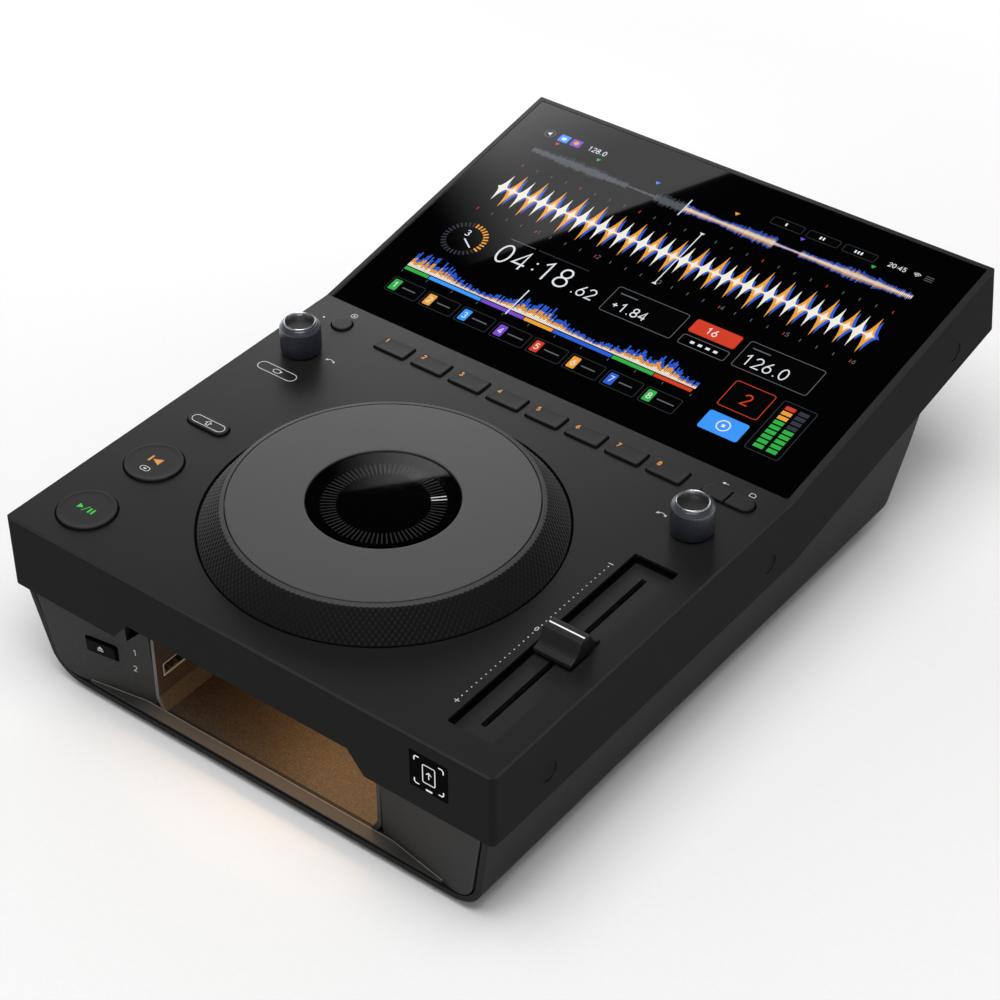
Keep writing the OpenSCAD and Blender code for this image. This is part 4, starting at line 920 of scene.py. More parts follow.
make_piece("tap_window_pane",
           [(stack(lambda inset: rounded(18.1, 18.1, 0.5, inset), [(0, -1.1)]
                   + fillet(0.0, 0.2, 3)), "capped")],
           smoked_acrylic, "chassis", at=tap_face, instead_of="tap_window")
tap_signs = []
for sx in (-1, 1):
    for sy in (-1, 1):
        tap_signs.append(ribbon([(sx * 4.6, sy * 6.9), (sx * 6.2, sy * 6.9), (sx * 6.9, sy * 6.2),
                                 (sx * 6.9, sy * 4.6)], 0.55, -0.02, 0.04))
tap_signs.append(ribbon(rounded(5.8, 9.0, 0.7), 0.42, -0.02, 0.04, closed=True))
tap_signs.append(ribbon([(-1.2, 0.2), (0, 1.4), (1.2, 0.2)], 0.42, -0.02, 0.04))
tap_signs.append(ribbon([(0, 1.4), (0, -1.9)], 0.42, -0.02, 0.04))
tap_signs.append(plate([(x, y - 7.9) for x, y in rounded(3.1, 0.9, 0.3)], -0.02, 0.04))
make_piece("tap_signs", tap_signs, white_sign, "chassis", at=tap_face)


# ---- Screen ----
# Chemically hardened glass with a black border, bonded over the display panel. The picture
# is a general player screen: bars, digits and plain shapes only.

def screen(x, s, w=0.0):
    """Screen frame: s up the slope from the fold, w out of the glass."""
    return deck(x, fold_y + s * math.cos(tilt) - w * math.sin(tilt),
                s * math.sin(tilt) + w * math.cos(tilt))


# Black-backed glass: mirror-smooth, black under a clear reflection.
border_glass, tree = new_material("black_backed_glass")
spot = add_node(tree, "ShaderNodeTexCoord")
smear = add_node(tree, "ShaderNodeTexNoise", {"Vector": spot.outputs["Object"], "Scale": 30.0,
                                              "Detail": 3.0})
polish = add_node(tree, "ShaderNodeMapRange", {"Value": smear.outputs["Fac"], "To Min": 0.015,
                                               "To Max": 0.035})
skin = add_node(tree, "ShaderNodeBsdfPrincipled", {
    "Base Color": colour("#010101"), "Roughness": polish.outputs["Result"], "IOR": 1.5})
add_node(tree, "ShaderNodeOutputMaterial", {"Surface": skin.outputs["BSDF"]})

glass_rows = [(0.0, -2.0)] + fillet(0.0, 0.25, 4)
make_piece("screen_pane",
           [([[(x, y + 81.05, w) for x, y in rounded(243.3, 161.35, 0.6, inset)]
              for inset, w in glass_rows], "capped")],
           border_glass, "chassis", at=screen, instead_of="screen_glass")

# Light of the display, one finish for each colour of the picture.
PICTURE = {
    "picture_panel": ("#16181b", 0.05), "picture_line": ("#6f757c", 0.8),
    "picture_dim": ("#3c4148", 0.8), "picture_white": ("#e9edf2", 1.0),
    "picture_blue": ("#2f62d8", 1.0), "picture_orange": ("#f2a53c", 1.0),
    "picture_red": ("#d6402a", 1.0), "picture_green": ("#35b24a", 1.0),
    "picture_violet": ("#7a4fd0", 1.0), "picture_cream": ("#f7f1e2", 1.0),
    "picture_azure": ("#3f9bff", 1.0),
}
picture = {name: [] for name in PICTURE}
LAYER = 0.03


def film_at(layer):
    """Underside and top of a layer of the picture."""
    return LAYER * layer - 0.02, LAYER * layer


def tile(finish, x0, s0, x1, s1, layer):
    picture[finish].append(plate([(x0, s0), (x1, s0), (x1, s1), (x0, s1)], *film_at(layer)))


def corner_box(x0, s0, x1, s1, radius):
    """Rounded rectangle between two corners."""
    return [(x + (x0 + x1) / 2, s + (s0 + s1) / 2)
            for x, s in rounded(x1 - x0, s1 - s0, radius, 0, 4)]


def slab(finish, x0, s0, x1, s1, radius, layer):
    picture[finish].append(plate(corner_box(x0, s0, x1, s1, radius), *film_at(layer)))


def frame_line(finish, x0, s0, x1, s1, radius, width, layer):
    picture[finish].append(ribbon(corner_box(x0, s0, x1, s1, radius), width, *film_at(layer),
                                  closed=True))


def count(finish, text, x, s, size, width, layer=3, spacing=0.78):
    picture[finish].extend(digits(text, x, s, size, width, *film_at(layer), spacing))


def spread(i):
    """Repeatable number from 0 to 1 for bar i."""
    value = math.sin(i * 12.9898 + 4.1) * 43758.5453
    return value - math.floor(value)


# Scrolling wave in the middle: pointed bursts about a centre line, by turns white and
# orange over blue.
beat, wave_s = 8.4, 100.0


def burst(finish, x, tall, left, right, layer):
    """Four-pointed burst with hollow sides."""
    outline = []
    for up, near, far in ((1, left, right), (-1, right, left)):
        for k in range(-6, 6):
            reach = near if k < 0 else far
            outline.append((x + up * reach * k / 6,
                            wave_s + up * (0.45 + (tall - 0.45) * (1 - abs(k) / 6) ** 2.8)))
    picture[finish].append(plate(outline, *film_at(layer)))


tile("picture_blue", -101, wave_s - 0.9, 101, wave_s + 0.9, 1)
tile("picture_cream", -101, wave_s - 0.4, 101, wave_s + 0.4, 3)
for i in range(36):
    x = -99.4 + i * 5.68
    if i % 2:
        tall = 11.6 + 2.6 * spread(i)
        burst("picture_blue", x + 1.3, tall * 0.86, 3.2, 3.9, 1)
        burst("picture_orange", x, tall, 3.9, 3.1, 2)
        burst("picture_cream", x, tall * 0.3, 2.2, 2.2, 3)
    else:
        burst("picture_blue", x + 1.6, 4.2 + 1.6 * spread(i), 3.0, 3.0, 1)
        burst("picture_cream", x, 9.0 + 2.2 * spread(i), 2.9, 2.7, 3)
tile("picture_white", -0.25, 80.5, 0.25, 119.5, 5)
for side in (-1, 1):
    picture["picture_white"].append(plate(
        [(-1.3, wave_s + side * 19.6), (1.3, wave_s + side * 19.6), (0, wave_s + side * 18)],
        0.13, 0.15))
for i in range(25):
    x = -100.8 + i * beat
    finish = "picture_red" if i % 4 == 0 else "picture_line"
    for side in (-1, 1):
        s = wave_s + side * 17.6
        tile(finish, x - 0.18, s - 0.9, x + 0.18, s + 0.9, 2)
    if i % 4 == 0 and i:
        count("picture_line", str(i // 4), x + 1.0, wave_s - 18.6, 2.4, 0.3)

# Whole-track strip under the top bar, with the played part dimmed.
for i in range(230):
    x = -103.5 + i * 0.9
    level = 0.45 + 0.4 * math.sin(i * 0.055) ** 2 * (0.6 + 0.4 * spread(i + 900))
    level *= 0.35 if 60 < i < 78 or 150 < i < 166 else 1.0
    done = i < 96
    level *= 0.6 + 0.4 * spread(i + 300)
    tile("picture_dim" if done else "picture_blue", x - 0.3, 130 - 5.6 * level, x + 0.3,
         130 + 5.6 * level, 1)
    tile("picture_line" if done else "picture_orange", x - 0.3, 130 - 3.8 * level, x + 0.3,
         130 + 3.8 * level * (0.6 + 0.4 * spread(i)), 2)
    tile("picture_line" if done else "picture_cream", x - 0.3, 130 - 1.8 * level, x + 0.3,
         130 + 1.8 * level, 3)
tile("picture_white", -17.4, 124.4, -16.9, 136.6, 4)
for x, finish in ((-96, "picture_red"), (-72, "picture_green"), (-38, "picture_azure"),
                  (6, "picture_orange"), (41, "picture_violet"), (78, "picture_green")):
    picture[finish].append(plate([(x, 137.4), (x + 1.3, 139.4), (x - 1.3, 139.4)], 0.07, 0.09))

# Top bar: round back key, two cover tiles, three outlined keys, clock, link and cell signs.
picture["picture_line"].append(ribbon([(-103.5 + x, 143.4 + s) for x, s in
                                       rounded(5.2, 5.2, 2.6)], 0.35, 0.04, 0.06, closed=True))
picture["picture_white"].append(plate([(-105.0, 143.4), (-102.8, 142.1), (-102.8, 144.7)],
                                      0.04, 0.06))
slab("picture_azure", -98, 141, -92.5, 146, 0.5, 1)
slab("picture_white", -96.6, 142.4, -93.9, 144.4, 0.9, 2)
slab("picture_violet", -91, 141, -85.5, 146, 0.5, 1)
slab("picture_orange", -89.6, 142.2, -86.9, 144.9, 1.3, 2)
count("picture_white", "128.0", -81, 142.2, 3.0, 0.4)
for i, x in enumerate((22, 41, 60)):
    slab("picture_panel", x, 141, x + 16.5, 146, 1.0, 1)
    frame_line("picture_dim", x, 141, x + 16.5, 146, 1.0, 0.25, 2)
    for k in range(i + 1):
        tile("picture_white", x + 7.2 + k * 1.6 - i * 0.8, 142.6, x + 8.0 + k * 1.6 - i * 0.8,
             144.4, 3)
count("picture_white", "20:45", 83, 142.4, 2.6, 0.35)
for k in range(3):
    picture["picture_white"].append(ribbon(arc(97.4, 142.2, 0.7 + k * 0.9, 0.7 + k * 0.9,
                                               45, 135, 6), 0.35, 0.07, 0.09))
for k in range(3):
    tile("picture_line", 101.4, 142.2 + k * 1.3, 105.4, 142.55 + k * 1.3, 2)

# Beat dial at the left, remaining time to its right.
for k in range(32):
    a = math.radians(90 - k * 11.25)
    finish = "picture_orange" if k < 11 else "picture_dim"
    picture[finish].append(ribbon(
        [(-93 + 8.6 * math.cos(a), 62 + 8.6 * math.sin(a)),
         (-93 + 11.2 * math.cos(a), 62 + 11.2 * math.sin(a))], 0.9, 0.04, 0.06))
picture["picture_white"].append(ribbon([(-93, 62), (-93 + 7 * math.cos(math.radians(-34)),
                                                    62 + 7 * math.sin(math.radians(-34)))],
                                       0.7, 0.07, 0.09))
count("picture_white", "3", -95.0, 64.2, 3.6, 0.5)
count("picture_white", "04:18", -74, 57.0, 12.0, 0.95)
count("picture_white", ".62", -30, 57.0, 6.6, 0.65)
tile("picture_line", -74, 72.4, -60, 72.8, 2)
tile("picture_dim", -58, 72.4, -30, 72.8, 2)
for x0, x1, text, size, x, s in ((-12, 26, "+1.84", 5.4, -8.5, 57.6),
                                 (58, 96, "126.0", 6.6, 61, 57.4)):
    frame_line("picture_line", x0, 54.5, x1, 71.5, 1.2, 0.3, 2)
    slab("picture_panel", x0, 54.5, x1, 71.5, 1.2, 1)
    count("picture_white", text, x, s, size, 0.62)
    tile("picture_line", x0 + 3, 67.6, x0 + 12, 68.2, 3)
slab("picture_red", 30, 62.8, 54, 71.5, 1.2, 2)
count("picture_white", "16", 37.4, 65.2, 4.0, 0.55, 4)
frame_line("picture_line", 30, 54.5, 54, 60.6, 1.2, 0.3, 2)
for k in range(4):
    tile("picture_white", 35.2 + k * 4, 56.8, 37.2 + k * 4, 58.2, 3)

# Lower strip: song outline over coloured sections.
for i in range(176):
    x = -104.5 + i * 0.9
    swell = 0.5 + 0.5 * math.sin(i * 0.09 + 0.8)
    level = (0.3 + 0.7 * swell) * (0.4 + 0.6 * spread(i + 40))
    tile("picture_blue", x - 0.36, 34.2, x + 0.36, 34.2 + 12.0 * level, 1)
    tile("picture_orange", x - 0.36, 34.2, x + 0.36, 34.2 + 7.4 * level * (0.7 + 0.3 * swell), 2)
    tile("picture_cream", x - 0.36, 34.2, x + 0.36, 34.2 + 3.2 * level, 3)
sections = (("picture_green", 14), ("picture_azure", 30), ("picture_violet", 24),
            ("picture_orange", 16), ("picture_blue", 32), ("picture_green", 22),
            ("picture_red", 20))
x = -104.8
for finish, length in sections:
    tile(finish, x, 31.6, x + length - 0.5, 33.6, 1)
    x += length
for i in range(12):
    tile("picture_line", -104.8 + i * 14.4, 29.4, -104.5 + i * 14.4, 30.8, 1)
tile("picture_white", -46.2, 30.6, -45.6, 48.6, 5)

# Bottom row: eight numbered chips, and a blue and a red key at the right.
chips = ("picture_green", "picture_orange", "picture_azure", "picture_violet", "picture_red",
         "picture_orange", "picture_blue", "picture_green")
for i, finish in enumerate(chips):
    x = -104.6 + i * 20
    slab("picture_panel", x, 16.2, x + 17.8, 25.6, 1.0, 1)
    frame_line("picture_dim", x, 16.2, x + 17.8, 25.6, 1.0, 0.25, 2)
    slab(finish, x + 1.2, 17.4, x + 5.4, 24.4, 0.6, 3)
    count("picture_white", str(i + 1), x + 2.3, 19.2, 3.4, 0.45, 4)
    tile("picture_line", x + 7.4, 20.6, x + 14 + 2 * spread(i), 21.2, 3)
slab("picture_azure", 66, 16.2, 86, 27.6, 1.2, 2)
picture["picture_white"].append(ribbon([(76 + x, 21.9 + s) for x, s in rounded(6, 6, 3)],
                                       0.6, 0.1, 0.12, closed=True))
tile("picture_white", 75.2, 21.1, 76.8, 22.7, 4)
slab("picture_panel", 66, 31.6, 86, 48.0, 1.2, 1)
frame_line("picture_red", 66, 31.6, 86, 48.0, 1.2, 0.35, 2)
count("picture_red", "2", 74.2, 36.6, 6.4, 0.7)
slab("picture_panel", 90, 16.2, 106.5, 48.0, 1.2, 1)
frame_line("picture_dim", 90, 16.2, 106.5, 48.0, 1.2, 0.3, 2)
for k in range(9):
    tile("picture_green" if k < 6 else "picture_orange" if k < 8 else "picture_red",
         92.6, 18.6 + k * 3.1, 97.4, 20.8 + k * 3.1, 3)
    tile("picture_green" if k < 5 else "picture_dim", 99.2, 18.6 + k * 3.1, 104, 20.8 + k * 3.1, 3)

for name, (code, strength) in PICTURE.items():
    # Lit display area of one colour, under the same clear glass.
    lit_area, tree = new_material(name + "_light")
    spot = add_node(tree, "ShaderNodeTexCoord")
    cells = add_node(tree, "ShaderNodeTexNoise", {"Vector": spot.outputs["Object"],
                                                  "Scale": 120.0})
    even = add_node(tree, "ShaderNodeMapRange", {"Value": cells.outputs["Fac"],
                                                 "To Min": 0.92 * strength,
                                                 "To Max": strength})
    skin = add_node(tree, "ShaderNodeBsdfPrincipled", {
        "Base Color": colour("#020202"), "Roughness": 0.035, "IOR": 1.5,
        "Emission Color": colour(code), "Emission Strength": even.outputs["Result"]})
    add_node(tree, "ShaderNodeOutputMaterial", {"Surface": skin.outputs["BSDF"]})
    make_piece(name, picture[name], lit_area, "chassis", at=screen)


# ---- Jog wheel ----
# A knurled soft-touch cone round a painted aluminium plate, turning about a fixed round
# display. The cone's diamonds are moulded: 180 round, in staggered rows up the slope.

jog_y = 90.4
KNURLS = 180
ROWS = 4.5
CUT = 0.42
CONE_FOOT, CONE_IN, CONE_UP = 75.3, 8.9, 11.3


def jog(x, y, z):
    return deck(x, jog_y + y, z)


# Soft-touch elastomer paint: charcoal black, dry, a little lighter on the peaks than in the
# hollows.
soft_touch, tree = new_material("soft_touch_elastomer")
peaks = add_node(tree, "ShaderNodeNewGeometry")
worn = add_node(tree, "ShaderNodeMapRange", {"Value": peaks.outputs["Pointiness"],
                                             "From Min": 0.5, "From Max": 0.62})
tone = add_node(tree, "ShaderNodeMix", {"Factor": worn.outputs["Result"],
                                        6: colour("#141414"), 7: colour("#1a1a1a")},
                data_type="RGBA")
skin = add_node(tree, "ShaderNodeBsdfPrincipled", {
    "Base Color": tone.outputs[2], "Roughness": 0.5, "Specular IOR Level": 0.09,
    "Sheen Weight": 0.22, "Sheen Roughness": 0.4})
add_node(tree, "ShaderNodeOutputMaterial", {"Surface": skin.outputs["BSDF"]})

slope = Vector((CONE_UP, CONE_IN)).normalized()
rim_rings = []
AROUND = KNURLS * 8
turns = [2 * math.pi * k / AROUND for k in range(AROUND)]
waves = [math.cos(KNURLS * a) for a in turns]
spins = [(math.cos(a), math.sin(a)) for a in turns]


def plain_ring(r, z):
    return [(r * c, r * s, z) for c, s in spins]


for r, z in ((69.6, 6.1), (69.6, -1.6), (74.9, -1.6), (75.2, -1.3), (CONE_FOOT, -0.6)):
    rim_rings.append(plain_ring(r, z))
STEPS = 42
for j in range(STEPS + 1):
    v = j / STEPS
    row = math.cos(2 * math.pi * ROWS * v)
    ring = []
    for wave, (c, s) in zip(waves, spins):
        rise = max(0.0, 0.5 + 0.5 * wave * row)
        deep = CUT * (1 - rise ** 0.7)
        r = CONE_FOOT - CONE_IN * v - slope.x * deep
        ring.append((r * c, r * s, CONE_UP * v - 0.1 - slope.y * deep))
    rim_rings.append(ring)
for r, z in ((66.0, 11.0), (64.2, 11.0), (63.8, 11.0), (63.8, 9.2), (58.3, 9.2), (58.3, 6.1)):
    rim_rings.append(plain_ring(r, z))
make_piece("jog_grip_ring", [(rim_rings, "looped")], soft_touch, "jog_wheel", at=jog,
           instead_of="jog_rim", crease=60)

# Painted shade: a dead black, faintly powdery finish laid in gaps and corners.
painted_shade_black, tree = new_material("painted_shade_matt_black")
spot = add_node(tree, "ShaderNodeTexCoord")
powder = add_node(tree, "ShaderNodeTexNoise", {"Vector": spot.outputs["Object"],
                                               "Scale": 1200.0})
dry = add_node(tree, "ShaderNodeMapRange", {"Value": powder.outputs["Fac"], "To Min": 0.85,
                                            "To Max": 0.95})
skin = add_node(tree, "ShaderNodeBsdfPrincipled", {
    "Base Color": colour("#020202"), "Roughness": dry.outputs["Result"],
    "Specular IOR Level": 0.03})
add_node(tree, "ShaderNodeOutputMaterial", {"Surface": skin.outputs["BSDF"]})
# A dead black ring in the gap round the wheel, just under the deck's surface, is painted shade.
gap_shade_rows = [(75.55, -0.5), (76.58, -0.5), (76.58, -0.15), (75.55, -0.15)]
make_piece("jog_gap_shade", [(lathe(gap_shade_rows, 256), "looped")], painted_shade_black, "chassis", at=jog)

# Satin-painted aluminium: mid grey, smooth, with a faint sheen.
satin_plate, tree = new_material("satin_painted_aluminium")
spot = add_node(tree, "ShaderNodeTexCoord")
orange_peel = add_node(tree, "ShaderNodeTexNoise", {"Vector": spot.outputs["Object"],
                                                    "Scale": 900.0, "Detail": 2.0})
sheen = add_node(tree, "ShaderNodeMapRange", {"Value": orange_peel.outputs["Fac"],
                                              "To Min": 0.4, "To Max": 0.48})
skin = add_node(tree, "ShaderNodeBsdfPrincipled", {"Base Color": colour("#3f3f3f"),
                                                   "Roughness": sheen.outputs["Result"]})
add_node(tree, "ShaderNodeOutputMaterial", {"Surface": skin.outputs["BSDF"]})

plate_rows = [(31.6, 9.5), (63.5, 9.5), (63.5, 11.6), (63.38, 11.86), (63.1, 12.0),
              (32.2, 12.0), (31.8, 11.88), (31.6, 11.6)]
make_piece("jog_top_plate", [(lathe(plate_rows, 256), "looped")], satin_plate, "jog_wheel",
           at=jog, instead_of="jog_plate")
# A narrow painted ring lies between the plate and the first diamonds, which notch its edge.
ring_paint, tree = new_material("eggshell_painted_aluminium")
spot = add_node(tree, "ShaderNodeTexCoord")
peel = add_node(tree, "ShaderNodeTexNoise", {"Vector": spot.outputs["Object"], "Scale": 900.0})
dull = add_node(tree, "ShaderNodeMapRange", {"Value": peel.outputs["Fac"], "To Min": 0.5,
                                             "To Max": 0.6})
skin = add_node(tree, "ShaderNodeBsdfPrincipled", {
    "Base Color": colour("#3d3d3d"), "Roughness": dull.outputs["Result"],
    "Specular IOR Level": 0.3})
add_node(tree, "ShaderNodeOutputMaterial", {"Surface": skin.outputs["BSDF"]})
edge_rings = [plain_ring(r, z) for r, z in ((64.0, 11.85), (63.9, 11.7), (63.9, 10.9))]
for r, z in ((66.15, 10.9), (66.3, 11.3), (66.1, 11.5)):
    edge_rings.append([((r - 0.26 - 0.26 * wave) * c, (r - 0.26 - 0.26 * wave) * s, z)
                       for wave, (c, s) in zip(waves, spins)])
edge_rings.append(plain_ring(64.3, 11.88))
make_piece("jog_edge_ring", [(edge_rings, "looped")], ring_paint, "jog_wheel", at=jog)

# The display is a black dish under a clear window, its dial 2.7 mm below the top.
dial_z = 9.3
display_rows = [(0.4, 7.4), (29.8, 7.4), (29.8, 10), (31, 10), (31, 11.8), (30.8, 12.0),
                (30.6, 12.0), (30.55, dial_z), (0.4, dial_z)]
make_piece("jog_display_dish", [(lathe(display_rows, 192), "capped")], smoked_acrylic, "chassis",
           at=jog, instead_of="jog_display")

# Clear acrylic: smooth, colourless, faintly smeared.
clear_acrylic, tree = new_material("clear_acrylic")
spot = add_node(tree, "ShaderNodeTexCoord")
smear = add_node(tree, "ShaderNodeTexNoise", {"Vector": spot.outputs["Object"], "Scale": 30.0,
                                              "Detail": 3.0})
polish = add_node(tree, "ShaderNodeMapRange", {"Value": smear.outputs["Fac"], "To Min": 0.015,
                                               "To Max": 0.03})
skin = add_node(tree, "ShaderNodeBsdfPrincipled", {
    "Base Color": colour("#f4f4f4"), "Roughness": polish.outputs["Result"], "IOR": 1.36,
    "Transmission Weight": 1.0})
add_node(tree, "ShaderNodeOutputMaterial", {"Surface": skin.outputs["BSDF"]})
window_rows = [(0.4, 11.7), (30.5, 11.7), (30.5, 11.97), (0.4, 11.97)]
make_piece("jog_display_window", [(lathe(window_rows, 192), "capped")], clear_acrylic, "chassis",
           at=jog)

# Scale on the dial: 76 grey lines, two of them lit white at the back right.
dim_lines, lit_lines = [], []
for k in range(76):
    a = 2 * math.pi * k / 76
    line = ribbon([(19.2 * math.cos(a), 19.2 * math.sin(a)),
                   (25.6 * math.cos(a), 25.6 * math.sin(a))], 0.5, dial_z - 0.01, dial_z + 0.02)
    (lit_lines if k in (9, 10) else dim_lines).append(line)
for name, lines, code, strength in (("jog_scale", dim_lines, "#48484a", 0.5),
                                    ("jog_marker", lit_lines, "#f2f4f6", 1.0)):
    # Light of the round display.
    lit_area, tree = new_material(name + "_light")
    spot = add_node(tree, "ShaderNodeTexCoord")
    cells = add_node(tree, "ShaderNodeTexNoise", {"Vector": spot.outputs["Object"],
                                                  "Scale": 120.0})
    even = add_node(tree, "ShaderNodeMapRange", {"Value": cells.outputs["Fac"],
                                                 "To Min": 0.9 * strength, "To Max": strength})
    skin = add_node(tree, "ShaderNodeBsdfPrincipled", {
        "Base Color": colour("#020202"), "Roughness": 0.035, "Emission Color": colour(code),
        "Emission Strength": even.outputs["Result"]})
    add_node(tree, "ShaderNodeOutputMaterial", {"Surface": skin.outputs["BSDF"]})
    make_piece(name, lines, lit_area, "chassis", at=jog)


# ---- Keys on the deck ----
# Each key is a moulded cap through the deck with a flange that keeps it in and a stem down
# to its switch. Lit signs shine through laser-cut paint.

KEY_TOP = 1.0


def key_shells(outline, low_outline, stem_x=0.0, dish=0.0):
    """Cap with a rounded top edge, its flange and its stem. dish lowers the cap's middle."""
    rows = [(0.0, -3.4)] + fillet(KEY_TOP, 0.45)
    rows += [(0.9, KEY_TOP - 0.2 * dish), (2.0, KEY_TOP - 0.8 * dish), (3.2, KEY_TOP - dish)]
    return [(stack(outline, rows), "capped"),
            (stack(low_outline, [(0.0, -4.2), (0.0, -3.3)]), "capped"),
            ([[(stem_x + x, y, z) for x, y, z in circle(1.5, z, 24)] for z in (-8, -4.1)],
             "capped")]


def key_spot(x0, y0):
    return lambda x, y, z: deck(x0 + x, y0 + y, z)


green_sign = sign_material("green_lit_sign", "#2fd64a", 0.9)
orange_sign = sign_material("orange_lit_sign", "#f2a034", 0.85)

ROUND = 12.45
play_x = -100.3
play_y, cue_y, shift_y = 22.5, 61.9, 95.3
delete_x = -103.3
pad_y, pad_pitch = 186.4, 20.86
pair_x, pair_y = 102.4, 187
for name, y in (("play", play_y), ("cue", cue_y)):
    make_piece(name + "_cap",
               key_shells(lambda inset: rounded(2 * ROUND, 2 * ROUND, ROUND, inset, 18),
                          lambda inset: rounded(27.6, 27.6, 13.8, inset, 18), dish=0.12),
               key_abs, name + "_key", at=key_spot(play_x, y), instead_of=name + "_button")
# Play and pause: a triangle, a stroke and two bars.
top = KEY_TOP - 0.1
make_piece("play_sign",
           [plate([(-4.6, -1.5), (-4.6, 1.5), (-2.0, 0)], top, top + 0.02),
            ribbon([(-1.5, -1.9), (0.3, 1.9)], 0.35, top, top + 0.02),
            plate([(1.2, -1.5), (2.1, -1.5), (2.1, 1.5), (1.2, 1.5)], top, top + 0.02),
            plate([(3.0, -1.5), (3.9, -1.5), (3.9, 1.5), (3.0, 1.5)], top, top + 0.02)],
           green_sign, "play_key", at=key_spot(play_x, play_y))
# Cue: a bar and a triangle that points back to it, over a small white pill.
make_piece("cue_sign",
           [plate([(-3.2, -0.6), (-2.2, -0.6), (-2.2, 3.2), (-3.2, 3.2)], top, top + 0.02),
            plate([(-1.6, 1.3), (2.8, -0.8), (2.8, 3.4)], top, top + 0.02)],
           orange_sign, "cue_key", at=key_spot(play_x, cue_y))
make_piece("cue_small_sign",
           [ribbon([(x, y - 5.4) for x, y in rounded(4.6, 2.6, 1.3)], 0.3, top, top + 0.02,
                   closed=True),
            plate([(x, y - 5.4) for x, y in rounded(1.6, 0.7, 0.3)], top, top + 0.02)],
           white_ink, "cue_key", at=key_spot(play_x, cue_y))

make_piece("shift_cap",
           key_shells(lambda inset: rounded(20.5, 7.5, 3.75, inset, 10),
                      lambda inset: rounded(23, 10, 0.4, inset, 3)),
           key_abs, "shift_key", at=key_spot(play_x, shift_y), instead_of="shift_button")
make_piece("shift_sign",
           [ribbon(rounded(17.2, 4.6, 2.3), 0.32, KEY_TOP - 0.02, KEY_TOP + 0.02, closed=True),
            ribbon([(-1.5, 0.1), (0, 1.5), (1.5, 0.1), (0.7, 0.1), (0.7, -1.4), (-0.7, -1.4),
                    (-0.7, 0.1)], 0.34, KEY_TOP - 0.02, KEY_TOP + 0.02, closed=True)],
           white_ink, "shift_key", at=key_spot(play_x, shift_y))

make_piece("delete_cap",
           key_shells(lambda inset: rounded(9.1, 9.1, 4.55, inset, 12),
                      lambda inset: rounded(11.8, 11.8, 5.9, inset, 12)),
           key_abs, "delete_key", at=key_spot(delete_x, pad_y), instead_of="delete_button")

for i in range(1, 9):
    px = (i - 4.5) * pad_pitch
    make_piece(f"pad_{i}_cap",
               key_shells(lambda inset: rounded(16.5, 9.3, 1.2, inset, 5),
                          lambda inset: rounded(19.2, 12, 0.4, inset, 3), dish=0.08),
               key_abs, f"pad_{i}_key", at=key_spot(px, pad_y), instead_of=f"pad_{i}")
    make_piece(f"pad_{i}_sign", digits(str(i), -6.4, 0.8, 2.4, 0.5, KEY_TOP - 0.12,
                                        KEY_TOP - 0.01), orange_sign,
               f"pad_{i}_key", at=key_spot(px, pad_y))


def half_pill(side, grow, inset):
    """Half of the split pair's outline, kept to one side of its middle gap."""
    r = 4.05 + grow - inset
    turn = [(8.0 + r * math.cos(a), r * math.sin(a))
            for a in (math.radians(-90 + 180 * k / 16) for k in range(17))]
    near = 0.4 + inset
    outline = [(near, -r)] + turn + [(near, r)]
    return [(side * x, y) for x, y in outline]


for name, side in (("back", -1), ("tag", 1)):
    make_piece(name + "_cap",
               key_shells(lambda inset, side=side: half_pill(side, 0, inset),
                          lambda inset, side=side: half_pill(side, 0.9, inset),
                          stem_x=side * 6.6),
               key_abs, name + "_key", at=key_spot(pair_x, pair_y), instead_of=name + "_button")


# A fine black line round each key's opening is painted shade in the gap.
gap_shade_width = 0.26
openings = [(play_x, play_y, 25.8, 25.8, 12.9), (play_x, cue_y, 25.8, 25.8, 12.9),
            (play_x, shift_y, 21.4, 8.4, 4.2), (delete_x, pad_y, 10.0, 10.0, 5.0),
            (pair_x, pair_y, 25.0, 9.0, 4.5)]
openings += [((i - 4.5) * pad_pitch, pad_y, 17.4, 10.2, 1.5) for i in range(1, 9)]
make_piece("key_gap_shades",
           [ribbon([(ox + x, oy + y) for x, y in
                    rounded(w + gap_shade_width, d + gap_shade_width, r + gap_shade_width / 2, 0, 14)],
                   gap_shade_width, -0.05, 0.015, closed=True) for ox, oy, w, d, r in openings],
           painted_shade_black, "chassis")


# ---- Knobs ----
# A ribbed sleeve of smoky polycarbonate with a dished cap in a bright ring, pushed onto the
# encoder's shaft.

# Smoky polycarbonate: dark blue-grey, with a haze that pales its edges and a clear gloss; its
# colour is painted lighter towards the top, as painted light.
smoky_polycarbonate, tree = new_material("smoky_polycarbonate")
spot = add_node(tree, "ShaderNodeTexCoord")
level = add_node(tree, "ShaderNodeSeparateXYZ", {"Vector": spot.outputs["Object"]})
# Painted light: the sleeve's colour grows paler towards its top.
painted_top_light = add_node(tree, "ShaderNodeMapRange", {"Value": level.outputs["Z"],
                                              "From Min": 0.0886, "From Max": 0.1010})
tone = add_node(tree, "ShaderNodeMix", {"Factor": painted_top_light.outputs["Result"],
                                        6: colour("#1e2127"), 7: colour("#3b3f46")},
                data_type="RGBA")
skin = add_node(tree, "ShaderNodeBsdfPrincipled", {
    "Base Color": tone.outputs[2], "Roughness": 0.3, "IOR": 1.58, "Sheen Weight": 0.22,
    "Sheen Roughness": 0.3, "Sheen Tint": colour("#b4bac4"),
    "Coat Weight": 0.5, "Coat Roughness": 0.15})
add_node(tree, "ShaderNodeOutputMaterial", {"Surface": skin.outputs["BSDF"]})

